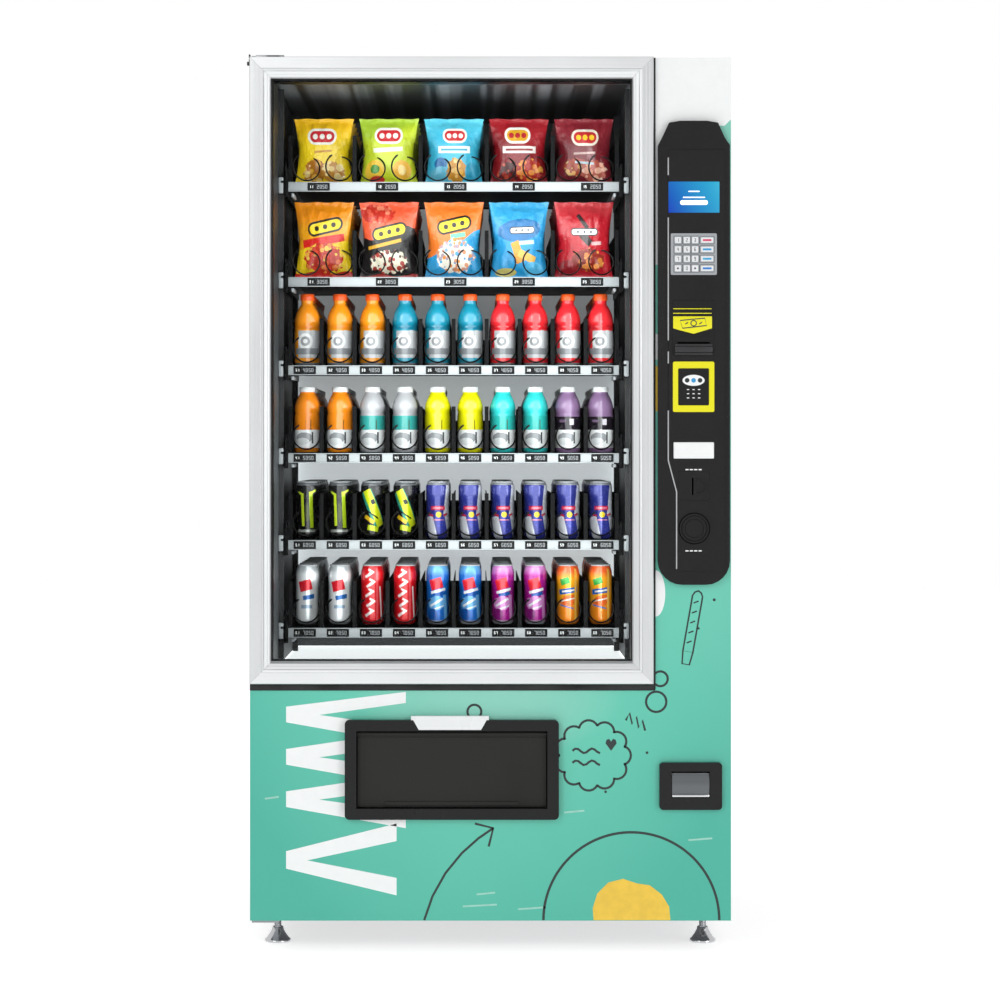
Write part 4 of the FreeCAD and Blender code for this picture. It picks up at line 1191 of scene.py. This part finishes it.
def label_spots(number):
    """Middle of each label plate of a tray, as x."""
    if number <= WIDE_TRAYS:
        return [lane_x(2 * n) + LANE / 2 + (n * 5 - 6) * MM for n in range(LANES // 2)]
    return [lane_x(n) for n in range(LANES)]


for number in range(1, len(TRAYS) + 1):
    top = rail_top(number)
    bm = bmesh.new()
    add_block(bm, (TRAY_LEFT, TRAY_RIGHT), (RAIL_Y, TRAY_FRONT), (top - RAIL_HIGH, top),
              0.5 * MM)
    for z in (top - 1.8 * MM, top - RAIL_HIGH):
        add_block(bm, (TRAY_LEFT, TRAY_RIGHT), (RAIL_Y - 1.4 * MM, RAIL_Y), (z, z + 1.8 * MM),
                  0.5 * MM)
    finish_mesh("price_rail_%d" % number, bm, RAIL_WHITE, tray_body(number),
                smooth=40)
    bm = bmesh.new()
    middle = top - RAIL_HIGH / 2
    for n, x in enumerate(label_spots(number)):
        outline = rounded_outline(x - LABEL_HALF[0], x + LABEL_HALF[0], middle - LABEL_HALF[1],
                                  middle + LABEL_HALF[1], 1.5 * MM, 3)
        add_slab(bm, outline, RAIL_Y, RAIL_Y - 1.2 * MM)
        face_y = RAIL_Y - 1.2 * MM
        for k, digit in enumerate((number % 10, (n + 1) % 10)):
            add_digit(bm, digit, x + (k * 4.8 - 19) * MM, middle, 6 * MM, face_y, 0.1 * MM, 1)
        for k, digit in enumerate((number + 1, 0, 5, 0)):
            add_digit(bm, digit % 10, x + (k * 6.2 - 1.5) * MM, middle, 9 * MM, face_y,
                      0.1 * MM, 2)
    finish_mesh("price_labels_%d" % number, bm, [LABEL_BLACK, INK_WHITE, LABEL_GREY],
                tray_body(number))

# %% Catches and brackets at the tray ends
def beyond(x, way, near, far):
    """Low and high x of a block that lies near to far millimetres past x."""
    ends = (x + way * near * MM, x + way * far * MM)
    return min(ends), max(ends)


for number in range(1, len(TRAYS) + 1):
    top = rail_top(number)
    bm = bmesh.new()
    for x, way in ((TRAY_LEFT, -1), (TRAY_RIGHT, 1)):
        add_block(bm, beyond(x, way, 0.5, 10.6), (TRAY_FRONT - 2 * MM, TRAY_FRONT + 6 * MM),
                  (top - 34 * MM, top + 6 * MM), 1.2 * MM)
        add_block(bm, beyond(x, way, 3, 8), (TRAY_FRONT - 1 * MM, TRAY_FRONT + 3 * MM),
                  (top + 4 * MM, top + 42 * MM), 1 * MM)
        add_block(bm, beyond(x, way, -1, 5), (TRAY_FRONT + 4 * MM, TRAY_FRONT + 12 * MM),
                  (top + 20 * MM, top + 34 * MM), 1 * MM)
        add_block(bm, beyond(x, way, 11, 22.6), (TRAY_FRONT - 1 * MM, TRAY_FRONT + 13 * MM),
                  (top - 25 * MM, top + 11 * MM), 2.5 * MM, material=1)
        add_block(bm, beyond(x, way, 10.6, 17), (TRAY_FRONT - 2 * MM, TRAY_FRONT + 9 * MM),
                  (top - 2 * MM, top + 3 * MM), 1.2 * MM)
        add_block(bm, beyond(x, way, -12, -6), (TRAY_FRONT + 8 * MM, TRAY_FRONT + 90 * MM),
                  (top - 32 * MM, top - 24 * MM), 1 * MM, material=1)
    finish_mesh("tray_catches_%d" % number, bm, [COAT_TRAY, RAIL_WHITE], tray_body(number),
                smooth=40)

# %% [markdown]
# ## Coils
#
# A coil is steel wire wound on a mandrel and coated black. One turn holds one pack, so
# its pitch is the packs' spacing. A wire swept along a helix gives the smooth curve that
# the frame's facetted solids lack. The coils keep the frame's places and turns. A live
# coil rides on its own body, and the others of a tray are one piece.

# %% Coils
COIL_RADIUS = 29 * MM
COIL_WIRE = 1.75 * MM
COIL_PITCH = 80 * MM
COIL_TURNS = 6.2
COIL_START = 120
COIL_RISE = 38 * MM
BENDS = 36            # straight lengths in one turn
COIL_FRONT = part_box("live_spiral_3")[0].y + COIL_WIRE


def add_wire(bm, points, radius, sides=8):
    """Adds a round wire that follows points, with a small bulb at its first point."""
    rings = []
    count = len(points)
    for n, point in enumerate(points):
        way = (points[min(n + 1, count - 1)] - points[max(n - 1, 0)]).normalized()
        side = way.cross(Vector((0, 1, 0))).normalized()
        up = side.cross(way)
        r = radius * (1.35 if n == 1 else 0.85 if n == 0 else 1.0)
        rings.append([bm.verts.new(point + side * (r * math.cos(2 * math.pi * k / sides))
                                   + up * (r * math.sin(2 * math.pi * k / sides)))
                      for k in range(sides)])
    join_rings(bm, rings)
    bm.faces.new(rings[0][::-1])
    bm.faces.new(rings[-1])


def add_coil(bm, x, z):
    """Adds one coil with its axis at x and z, and the hub that drives it."""
    count = round(COIL_TURNS * BENDS)
    points = []
    for n in range(count + 1):
        a = math.radians(COIL_START + 360 * n / BENDS)
        points.append(Vector((x + COIL_RADIUS * math.cos(a),
                              COIL_FRONT + COIL_PITCH * n / BENDS,
                              z + COIL_RADIUS * math.sin(a))))
    add_wire(bm, points, COIL_WIRE)
    end = points[-1]
    axis = Vector((x, end.y, z))
    arm = [end, end.lerp(axis, 0.5), axis]
    add_wire(bm, [p + Vector((0, 2 * MM, 0)) for p in arm], 3 * MM, 6)
    add_slab(bm, circle(x, z, 9 * MM, count=16), end.y + 8 * MM, end.y - 4 * MM, edge=1 * MM)
    add_slab(bm, circle(x, z, 5 * MM, count=12), end.y + 22 * MM, end.y + 8 * MM)


for number in range(1, len(TRAYS) + 1):
    z = rail_top(number) + COIL_RISE
    live = (4, 5) if number <= WIDE_TRAYS else (4,)
    bm = bmesh.new()
    for n in range(LANES):
        if n not in live:
            add_coil(bm, lane_x(n), z)
    finish_mesh("coils_%d" % number, bm, WIRE_BLACK, tray_body(number),
                ["spirals_%d" % number], smooth=60)
    for k, n in enumerate(live):
        node = "live_spiral_%d%s" % (number, ("_left", "_right")[k] if len(live) > 1 else "")
        bm = bmesh.new()
        add_coil(bm, lane_x(n), z)
        finish_mesh("turning_coil_%d_%d" % (number, n + 1), bm, WIRE_BLACK, node,
                    [node], smooth=60)

# %% [markdown]
# ## Goods
#
# The goods stand in the coils and ride on their trays. Their prints are abstract. Every
# point of a pack carries `art`: millimetres across, millimetres up, and a number of its own,
# so that one list of shapes prints a whole kind of pack.

# %% Prints
class Print:
    """A pack's print: coloured shapes, in millimetres, laid over one another."""

    def __init__(self, name, color, rough, metal=0.0, coat=0.0):
        self.paint = Paint(name, color, rough, metal, coat)
        self.u, self.v, self.seed = self.paint.art()
        self.color = self.paint.mix(self.u * 0.0, color, color)

    def lay(self, mask, color):
        """Lays color over the print so far, where mask is 1."""
        self.color = self.paint.mix(mask, self.color, color)

    def turned(self, x, z, tilt):
        """Distances across and up from (x, z), on axes turned by tilt degrees."""
        c = math.cos(math.radians(tilt))
        s = math.sin(math.radians(tilt))
        u = self.u - x
        v = self.v - z
        return u * c + v * s, v * c - u * s

    def box(self, x, z, wide, tall, color, tilt=0):
        p, q = self.turned(x, z, tilt)
        inside = (p.apply("ABSOLUTE") < wide / 2).both(q.apply("ABSOLUTE") < tall / 2)
        self.lay(inside, color)

    def disc(self, x, z, rx, rz, color, tilt=0, ragged=0.0):
        p, q = self.turned(x, z, tilt)
        p = p * (1 / rx)
        q = q * (1 / rz)
        reach = p * p + q * q
        if ragged:
            reach = reach + (self.grain(0.09, 3.0) - 0.5) * ragged
        self.lay(reach < 1.0, color)

    def below(self, z, color, slope=0.0, wave=0.0, length=12.0, soft=0.0):
        edge = self.v - self.u * slope - z
        if wave:
            edge = edge + (self.u * (1 / length)).apply("SINE") * wave
        self.lay(edge.ramp(soft, -soft) if soft else edge < 0.0, color)

    def above(self, z, color, slope=0.0, soft=0.0):
        edge = self.v - self.u * slope - z
        self.lay(edge.ramp(-soft, soft) if soft else edge > 0.0, color)

    def vector(self):
        node = self.paint.node("ShaderNodeAttribute", attribute_name="art")
        return node.outputs["Vector"]

    def grain(self, scale, detail=2.0):
        node = self.paint.node("ShaderNodeTexNoise")
        node.inputs["Scale"].default_value = scale
        node.inputs["Detail"].default_value = detail
        self.paint.tree.links.new(self.vector(), node.inputs["Vector"])
        return Field(self.paint.tree, node.outputs["Fac"])

    def crumbs(self, x, z, rx, rz, colors, size):
        """A heap of snack pieces inside a ragged oval."""
        cells = self.paint.node("ShaderNodeTexVoronoi")
        cells.inputs["Scale"].default_value = 1 / size
        self.paint.tree.links.new(self.vector(), cells.inputs["Vector"])
        pick = Field(self.paint.tree, cells.outputs["Color"])
        near = Field(self.paint.tree, cells.outputs["Distance"])
        heap = self.paint.mix(pick.ramp(0.2, 0.8), colors[0], colors[1])
        heap = self.paint.mix(near > 0.52, heap, colors[2])
        self.disc(x, z, rx, rz, heap, ragged=1.6)

    def pill(self, x, z, wide, tall, color, tilt=0):
        """A bar with round ends."""
        p, q = self.turned(x, z, tilt)
        past = (p.apply("ABSOLUTE") - (wide - tall) / 2).either(0.0)
        self.lay(past * past + q * q < tall * tall / 4, color)

    def badge(self, x, z, wide, tall, colors, tilt=0):
        """Generic mark: a pill with a rim and three dots."""
        self.pill(x, z, wide, tall, colors[0], tilt)
        self.pill(x, z, wide - tall * 0.3, tall * 0.7, colors[1], tilt)
        for step in (-1, 0, 1):
            dx = step * wide * 0.24 * math.cos(math.radians(tilt))
            dz = step * wide * 0.24 * math.sin(math.radians(tilt))
            self.disc(x + dx, z + dz, tall * 0.17, tall * 0.17, colors[2])

    def done(self, crinkle=0.0):
        """Links the print to the shader and returns the material."""
        dull = self.grain(0.05, 3.0)
        self.paint.link(self.color, "Base Color")
        rough = self.paint.shader.inputs["Roughness"].default_value
        self.paint.vary(dull, "Roughness", rough * 0.7, rough * 1.4)
        if crinkle:
            self.paint.bump(self.grain(0.06, 4.0), crinkle)
        return self.paint.material


def foil_pack(name, color, shapes):
    """Printed foil: glossy and finely crinkled."""
    pack = Print(name, color, 0.3, coat=0.35)
    shapes(pack)
    return pack.done(0.004)


# Colours of the generic badges: rim, middle and dots.
MARK = ("#F4F1E6", "#C9222B", "#F7F4EA")
WORD = ("#1F1B18", "#F6D51E", "#2B211A")
PILL = ("#20242A", "#F3F3F3", "#5A6066")


def yellow_pack(p):
    p.above(118, "#F2B90C", soft=26)
    p.badge(-4, 112, 74, 38, MARK)
    p.box(-2, 78, 46, 5, "#C98B12", 4)
    p.crumbs(-22, 34, 30, 26, ("#E9B23A", "#F9E7A6", "#B9731A"), 16)
    p.crumbs(24, 32, 30, 24, ("#F3D27A", "#FBEFC4", "#C98A2C"), 18)
    p.below(4, "#E8B408")


def lime_pack(p):
    p.above(120, "#A8C832", slope=0.3, soft=12)
    p.badge(0, 114, 72, 38, MARK)
    p.box(-2, 82, 78, 10, "#EEF3D8", 3)
    p.disc(-36, 34, 25, 25, "#F2C534", ragged=0.2)
    p.disc(-36, 38, 12, 10, "#4F9A35", ragged=0.4)
    p.disc(-28, 14, 18, 9, "#C62B22", ragged=0.3)
    p.disc(34, 36, 24, 22, "#F0B63C", ragged=0.3)
    p.disc(34, 36, 10, 12, "#F6D98A", ragged=0.6)


def blue_pack(p):
    p.above(126, "#54C3DC", soft=12)
    p.badge(2, 114, 62, 34, MARK)
    p.box(0, 82, 84, 16, "#EFF8FA", 0)
    p.box(0, 82, 70, 5, "#3FA9C8", 0)
    p.disc(-36, 50, 16, 14, "#2A6FA8", ragged=0.3)
    p.disc(-34, 26, 26, 18, "#5FB4CE", ragged=0.3)
    p.crumbs(6, 36, 26, 27, ("#E8B24C", "#F7D794", "#C98A2C"), 15)
    p.disc(46, 30, 18, 24, "#2E9EC0", ragged=0.2)


def dark_red_pack(p):
    p.above(100, "#A31420", slope=-0.5, soft=16)
    p.badge(-4, 115, 66, 38, ("#F4F1E6", "#D9A21C", "#B3202A"))
    p.box(0, 82, 88, 16, "#F1E4DF", 0)
    p.box(0, 82, 72, 5, "#8E1820", 0)
    p.crumbs(-26, 30, 28, 24, ("#8C1B1C", "#C8553A", "#4C0B10"), 12)
    p.crumbs(24, 36, 34, 25, ("#E07A22", "#F0A94A", "#B02A1C"), 13)


def maroon_pack(p):
    p.above(110, "#8C1F2C", soft=20)
    p.badge(2, 110, 70, 38, ("#F2E7D6", "#C8202B", "#F6C92E"))
    p.box(0, 74, 58, 5, "#C9A6A0", 2)
    p.crumbs(-22, 42, 32, 20, ("#EBB067", "#D9C27A", "#A8442E"), 14)
    p.crumbs(24, 34, 32, 24, ("#E8A488", "#F3D3BD", "#B85A4A"), 15)
    p.box(0, 52, 50, 5, "#AFC7D2", -4)


def ember_pack(p):
    p.above(128, "#F08F12", soft=14)
    p.badge(4, 120, 92, 34, WORD, 12)
    p.box(0, 88, 110, 18, "#D8211B", 8)
    p.below(78, "#F1CC1C", slope=0.12, wave=3)
    p.crumbs(0, 48, 52, 34, ("#E6402A", "#F3D45A", "#C62E1C"), 12)
    p.below(16, "#D2231C", wave=3)


def smoke_pack(p):
    p.below(106, "#1D1A1A", slope=0.25, wave=6, length=9)
    p.crumbs(-30, 150, 44, 22, ("#D8402E", "#F08A6A", "#C22F22"), 11)
    p.badge(2, 108, 94, 34, WORD, 12)
    p.box(-10, 80, 90, 8, "#D9A32A", 12)
    p.crumbs(0, 40, 50, 26, ("#B7382C", "#1F1B1B", "#E8E0C8"), 11)
    p.below(10, "#A4261F", wave=3)


def sky_pack(p):
    p.below(82, "#2F9BD2", slope=0.45, wave=4)
    p.badge(0, 124, 90, 34, WORD, 12)
    p.box(10, 100, 40, 11, "#6CC6A0", 8)
    p.crumbs(4, 54, 50, 38, ("#E98A2C", "#2F9BD2", "#F3EBDD"), 10)
    p.below(12, "#2389BE", wave=3)


def ocean_pack(p):
    p.above(140, "#3AA6DA", soft=20)
    p.disc(0, 112, 56, 26, "#1C6EA8", 6, 0.3)
    p.badge(8, 112, 66, 17, PILL, 2)
    p.box(20, 84, 40, 9, "#B9D9E8", 4)
    p.box(-4, 62, 22, 50, "#E39A2E", 20)
    p.box(20, 52, 46, 18, "#F0B550", -24)
    p.disc(-32, 16, 26, 10, "#C8BB6C", ragged=0.4)
    p.disc(36, 22, 24, 18, "#54B4E0", ragged=0.3)


def crimson_pack(p):
    p.above(150, "#C93A40", soft=10)
    p.box(-4, 132, 10, 40, "#2A1516", 38)
    p.box(4, 92, 34, 18, "#2A1516", -42)
    p.badge(0, 108, 72, 18, PILL, 0)
    p.box(32, 82, 26, 8, "#D8AFAE", 3)
    p.crumbs(10, 44, 42, 25, ("#D2762C", "#E8A552", "#8E2418"), 13)
    p.disc(-44, 24, 24, 20, "#8E0F1C", ragged=0.2)


BAGS = [[foil_pack("pack_yellow", "#F7D416", yellow_pack),
         foil_pack("pack_lime", "#C6D62B", lime_pack),
         foil_pack("pack_blue", "#3DB6D6", blue_pack),
         foil_pack("pack_dark_red", "#86131C", dark_red_pack),
         foil_pack("pack_maroon", "#741622", maroon_pack)],
        [foil_pack("pack_ember", "#F4A51A", ember_pack),
         foil_pack("pack_smoke", "#EE5E3A", smoke_pack),
         foil_pack("pack_sky", "#F07A2A", sky_pack),
         foil_pack("pack_ocean", "#2596CE", ocean_pack),
         foil_pack("pack_crimson", "#B71626", crimson_pack)]]

# %% [markdown]
# ## Bags
#
# A snack bag is a tube of printed foil, sealed flat at both ends and filled with air, so it
# swells in the middle, draws in at the waist and pleats towards its seals. Each row of
# points is worked out from that shape, because the art has to follow the foil. Only the
# front bag of a lane is fine; those behind it are coarse.

# %% Bags
BAG_WIDE = 137 * MM
BAG_TALL = (154 * MM, 177 * MM)
GOODS_PITCH = 80 * MM
FIRST_GOODS = 66 * MM
FIRST_BAG = 82 * MM
GOODS_DEEP = 6
dice = random.Random(7)


def start_goods():
    """A new mesh with a layer for the art coordinates."""
    bm = bmesh.new()
    return bm, bm.verts.layers.float_vector.new("art")


def add_bag(bm, art, place, tall, seed, columns, rows):
    """Adds a sealed pillow bag that stands on place and leans back a little."""
    crimp = 0.075
    lean = 0.05 + 0.03 * dice.random()
    yaw = (dice.random() - 0.5) * 0.08
    wrinkle = dice.random() * 6
    rings = []
    for row in range(rows + 1):
        s = row / rows
        inner = min(max((s - crimp) / (1 - 2 * crimp), 0.0), 1.0)
        swell = math.sin(math.pi * inner) ** 0.6
        half = BAG_WIDE / 2 * (1 - 0.15 * math.sin(math.pi * s) ** 0.8 * (1.15 - 0.3 * s))
        deep = 18 * MM * swell + 0.5 * MM
        near_end = math.exp(-min(s, 1 - s) / 0.14)
        ring = []
        around = [(-1 + 2 * k / columns, -1) for k in range(columns + 1)]
        around += [(1 - 2 * k / columns, 1) for k in range(1, columns)]
        for t, side in around:
            edge = max(1 - t * t, 0.0) ** 0.55
            pleat = 1 + near_end * 0.35 * math.sin(t * 17 + wrinkle)
            soft = 1 + 0.05 * math.sin(t * 5 + s * 9 + wrinkle)
            x = half * t
            y = side * deep * edge * pleat * soft
            y += 0.9 * MM * near_end * math.sin(t * 21 + wrinkle)
            z = s * tall + (0.8 * MM * math.sin(t * 9 + wrinkle) if row == rows else 0)
            y += lean * (z - tall / 3) * 0.6
            vert = bm.verts.new((place[0] + x - y * yaw, place[1] + y + x * yaw, place[2] + z))
            vert[art] = (t * BAG_WIDE / MM / 2, s * tall / MM, seed)
            ring.append(vert)
        rings.append(ring)
    join_rings(bm, rings)
    for ring in (rings[0][::-1], rings[-1]):
        bm.faces.new(ring)


for number in range(1, WIDE_TRAYS + 1):
    for lane in range(LANES // 2):
        x = lane_x(2 * lane) + LANE / 2
        bm, art = start_goods()
        for k in range(GOODS_DEEP):
            y = COIL_FRONT + FIRST_BAG + GOODS_PITCH * k
            detail = (28, 30) if k == 0 else (10, 10)
            add_bag(bm, art, (x, y, rail_top(number) + 1 * MM), BAG_TALL[number - 1],
                    dice.random(), *detail)
        finish_mesh("bags_%d_%d" % (number, lane + 1), bm, BAGS[number - 1][lane],
                    tray_body(number), smooth=70)

# %% [markdown]
# ## Bottles and cans
#
# Bottles are blown PET in a printed shrink sleeve, and cans are drawn aluminium, printed
# under a clear coat. Both are round, so an outline turned about its axis makes them. The
# outlines are (radius, height) points in mm.

# %% Bottles and cans
def drink(name, color, shapes, rough=0.22, metal=0.0):
    """Glossy print on a bottle or, with some metal, on a can."""
    pack = Print(name, color, rough, metal, 0.5)
    shapes(pack)
    return pack.done()


def sport_label(base, dark):
    def shapes(p):
        p.below(90, dark, soft=6)
        p.below(84, base, soft=2)
        p.below(80, "#C4C6C9")
        p.box(-29, 40, 16, 90, base, 0)
        # Painted highlight: a light strip down the right of the label.
        p.box(16, 46, 9, 70, "#D8DADC", 0)
        p.disc(-3, 56, 18, 18, "#F3F4F4")
        p.disc(-3, 56, 11, 11, "#9C9EA1")
        p.disc(-3, 56, 5, 5, "#F3F4F4")
        p.box(0, 33, 60, 14, "#8C8F93")
        p.below(18, base)
        p.below(7, "#8F9296")
    return shapes


def water_label(base, band, dark_band=None):
    def shapes(p):
        if band:
            p.below(84, band)
        p.box(10, 62, 2, 26, "#5B4A20" if not dark_band else "#C9C2CC")
        if dark_band:
            p.below(82, dark_band)
            p.box(8, 70, 10, 14, "#D9D4DC")
            p.box(-14, 72, 16, 6, "#6D5A72")
        p.below(52, "#F1F3F3")
        p.disc(-6, 34, 20, 12, "#9A9DA0", ragged=0.6)
        p.disc(-10, 26, 16, 8, "#D9DCDD", ragged=0.4)
        p.box(14, 34, 4, 26, "#4C4F52")
        p.below(11, base if base != "#BFC0C3" else "#B2B4B7")
    return shapes


def glow_can(p):
    p.box(-9, 66, 6.5, 74, "#C8E02A", 2)
    p.box(11, 66, 8.5, 82, "#B9D81E", 2)
    p.box(-16, 104, 10, 5, "#C8E02A", -30)
    p.box(18, 108, 12, 5, "#C8E02A", 24)
    p.disc(1, 60, 5, 22, "#39420E", ragged=0.8)
    p.box(0, 18, 44, 6, "#A9ADA6")
    p.below(6, "#0B0B0B")
    p.above(121, "#6F7275")


def bolt_can(p):
    p.box(2, 70, 27, 84, "#1C8F76", 24)
    p.box(4, 70, 19, 88, "#D8E61C", 24)
    p.box(2, 84, 9, 11, "#151515", 24)
    p.box(0, 56, 36, 3.4, "#141414", -34)
    p.box(-6, 44, 26, 9, "#E3B81C", -34)
    p.box(2, 24, 26, 12, "#C9DC1E", -12)
    p.above(121, "#6F7275")


def split_can(p):
    p.box(26, 62, 22, 140, "#D5D8E2", -7)
    p.box(-16, 24, 22, 54, "#DADCE4", 12)
    p.box(12, 24, 22, 54, "#3A42A6", 12)
    p.box(1, 70, 34, 9, "#D1304E", 0)
    p.box(1, 70, 24, 2.4, "#E7A0AE", 0)
    p.disc(3, 55, 6.5, 6.5, "#F2CE2C")
    p.box(-16, 54, 13, 5, "#C73048", -18)
    p.box(20, 55, 12, 5, "#C73048", 20)
    p.box(2, 43, 26, 2.4, "#E48FA0")
    p.above(122, "#8F9299")


def silver_can(p):
    p.below(130, "#EDF0F2")
    p.box(-3, 88, 30, 24, "#DE1F30", 14)
    p.box(4, 68, 36, 9, "#F6F8F9", 12)
    p.box(6, 62, 30, 10, "#2468B4", 10)
    p.box(0, 40, 26, 8, "#9CB2C6")
    # Painted highlight: the white strip down the right side.
    p.box(22, 60, 7, 130, "#F8FAFA")
    p.below(6, "#B9BDC1")
    p.above(118, "#C4C9CC", soft=6)


def red_can(p):
    # Painted highlight: the lighter red strip down the right side.
    p.box(12, 66, 5, 140, "#F0555B")
    for n in range(5):
        p.box(-8 + 3 * (n % 2), 24 + 22 * n, 19, 6, "#F6E4E1", 34)
        p.box(-2 + 3 * (n % 2), 33 + 22 * n, 15, 4.4, "#F6E4E1", -28)
    # Painted highlight: a white streak further right.
    p.box(22, 48, 4, 76, "#F7F1EE", 4)
    p.above(134, "#A41520", soft=3)


def wave_can(base, pale):
    def shapes(p):
        p.above(118, pale, soft=8)
        p.box(-3, 92, 29, 24, "#E02334", 16)
        p.box(2, 76, 36, 6, "#F4F7FA", 14)
        p.box(4, 68, 28, 8, "#1C57A8", 12)
        p.disc(-2, 48, 22, 16, pale, 12, 0.8)
        p.box(-2, 50, 34, 5, "#F1F4F8", 30)
        p.box(2, 38, 28, 3, "#E4EAF2", 18)
        p.disc(-12, 22, 12, 14, base, ragged=0.4)
        # Painted highlight: the pale strip down the right side.
        p.box(20, 34, 9, 66, pale, 4)
        p.below(8, "#C9CFD6", soft=3)
    return shapes


def orange_can(p):
    p.above(112, "#F0622A", soft=8)
    p.below(44, "#F58A18", soft=8)
    p.box(-8, 98, 22, 15, "#3FA845", 18)
    p.box(0, 76, 46, 12, "#1F5FAF", 8)
    p.box(0, 76, 30, 4, "#F6E9DC", 8)
    p.disc(2, 54, 22, 12, "#EE6A24", 14, 0.2)
    p.box(0, 56, 36, 3, "#F9EDE0", 12)
    p.box(-4, 40, 34, 3, "#2C6FBA", -14)
    # Painted highlight: the light strip down the right side.
    p.box(18, 66, 6, 120, "#FBC24A")


ORANGE, TEAL, RED = "#F7941A", "#1B8FAA", "#EE2B33"
SPORT = [drink("sport_orange", ORANGE, sport_label("#F59A1E", "#E07A10")),
         drink("sport_teal", TEAL, sport_label("#2796B0", "#0D6C86")),
         drink("sport_red", RED, sport_label("#EE2F36", "#C41C26"))]
WATER = [drink("water_orange", "#F58C1A", water_label("#F58C1A", None)),
         drink("water_white", "#B2B3B6", water_label("#BFC0C3", "#3AA9A2")),
         drink("water_yellow", "#E4E00C", water_label("#E4E00C", None)),
         drink("water_cyan", "#34CBC8", water_label("#34CBC8", "#2DB8B0")),
         drink("water_purple", "#8A6C92", water_label("#8A6C92", None, "#231C26"))]
SLIM = [drink("slim_glow", "#0C0C0D", glow_can, 0.25, 0.3),
        drink("slim_bolt", "#111113", bolt_can, 0.25, 0.3),
        drink("slim_split", "#2C3386", split_can, 0.25, 0.25)]
CAN = [drink("can_silver", "#E3E7EA", silver_can, 0.22, 0.3),
       drink("can_red", "#D8141F", red_can, 0.22, 0.2),
       drink("can_blue", "#1766C0", wave_can("#0F4C9C", "#69AEE6"), 0.22, 0.2),
       drink("can_berry", "#A6178A", wave_can("#7C0F6C", "#D98CCF"), 0.22, 0.2),
       drink("can_orange", "#F9A51A", orange_can, 0.22, 0.2)]
CAP_ORANGE = moulding("cap_orange", "#EE5A1C", 0.35)
CAP_WHITE = moulding("cap_white", "#E9EBEB", 0.35)
LID = moulding("can_lid", "#B4B8BB", 0.3, grain=600)

SPORT_BODY = [(0, 2), (20, 0), (26.5, 1.2), (29, 4.5), (29.5, 9), (29.5, 77), (28.6, 79.5),
              (28.6, 82), (29.5, 84.5), (29.5, 88), (28.3, 90.5), (28.3, 92.5), (29.3, 95),
              (29, 101), (27.8, 110), (25.4, 119), (21.6, 128), (17.4, 135), (14.6, 139),
              (13.8, 142), (13.8, 149)]
SPORT_CAP = [(15.4, 149), (16, 150), (16, 161), (14.8, 163.4), (10, 164.6), (0, 165)]
WATER_BODY = [(0, 2), (20, 0), (26.5, 1.2), (29, 4.5), (29.5, 9), (29.5, 84), (28.4, 87),
              (28, 91), (28.8, 95), (29.2, 100), (28.2, 108), (25.6, 117), (21.8, 126),
              (18.4, 132), (17, 135), (16.6, 138)]
WATER_CAP = [(17.6, 138), (18, 139), (18, 148), (17, 149.6), (12, 150), (0, 150)]
SLIM_BODY = [(0, 4), (18, 3), (20, 0), (22.5, 1.6), (26, 6), (26.5, 9), (26.5, 118),
             (25.6, 122), (23.2, 127), (22.8, 128)]
SLIM_LID = [(23.4, 128.4), (23.6, 129.6), (22.8, 130), (22, 128), (21, 127.6), (0, 127.6)]
CAN_BODY = [(0, 5), (17, 4), (19, 0), (21.6, 1.8), (25.4, 7), (26, 11), (26, 116),
            (25.2, 121), (22.4, 130), (21.8, 132)]
CAN_LID = [(22.6, 132.6), (22.8, 134.2), (22, 135), (21, 132.6), (19.6, 132), (0, 132)]


def add_turned(bm, art, body, top, place, segments, seed):
    """Adds a bottle or can: body (material 0) and cap or lid (material 1)."""
    rings = []
    reach = max(r for r, h in body)
    for radius, height in body + top:
        if radius < 0.01:
            vert = bm.verts.new((place[0], place[1], place[2] + height * MM))
            vert[art] = (0, height, seed)
            rings.append([vert])
            continue
        ring = []
        for n in range(segments):
            a = 2 * math.pi * n / segments
            vert = bm.verts.new((place[0] + radius * MM * math.sin(a),
                                 place[1] - radius * MM * math.cos(a),
                                 place[2] + height * MM))
            across = a if a <= math.pi else a - 2 * math.pi
            vert[art] = (reach * across, height, seed)
            ring.append(vert)
        rings.append(ring)
    for k, band in enumerate(join_rings(bm, rings)):
        for face in band:
            face.material_index = int(k >= len(body) - 1)


def simple(profile):
    """A coarser outline for the rows behind."""
    return [point for n, point in enumerate(profile) if n % 2 == 0 or n == len(profile) - 1]


# Each tray's body, top, paint of the top, and the print in each of its lanes.
SHELVES = {3: (SPORT_BODY, SPORT_CAP, CAP_ORANGE,
               [SPORT[n] for n in (0, 0, 0, 1, 1, 1, 2, 2, 2, 2)]),
           4: (WATER_BODY, WATER_CAP, CAP_WHITE, [WATER[n // 2] for n in range(10)]),
           5: (SLIM_BODY, SLIM_LID, LID, [SLIM[n] for n in (0, 0, 1, 1, 2, 2, 2, 2, 2, 2)]),
           6: (CAN_BODY, CAN_LID, LID, [CAN[n // 2] for n in range(10)])}
for number, (body, top, top_paint, prints) in SHELVES.items():
    for lane in range(LANES):
        bm, art = start_goods()
        for k in range(GOODS_DEEP):
            place = (lane_x(lane), COIL_FRONT + FIRST_GOODS + GOODS_PITCH * k,
                     rail_top(number) + (1 if number < 6 else 4) * MM)
            if k == 0:
                add_turned(bm, art, body, top, place, 40, dice.random())
            else:
                add_turned(bm, art, simple(body), simple(top), place, 16, dice.random())
        finish_mesh("drinks_%d_%d" % (number, lane + 1), bm, [prints[lane], top_paint],
                    tray_body(number), smooth=40)
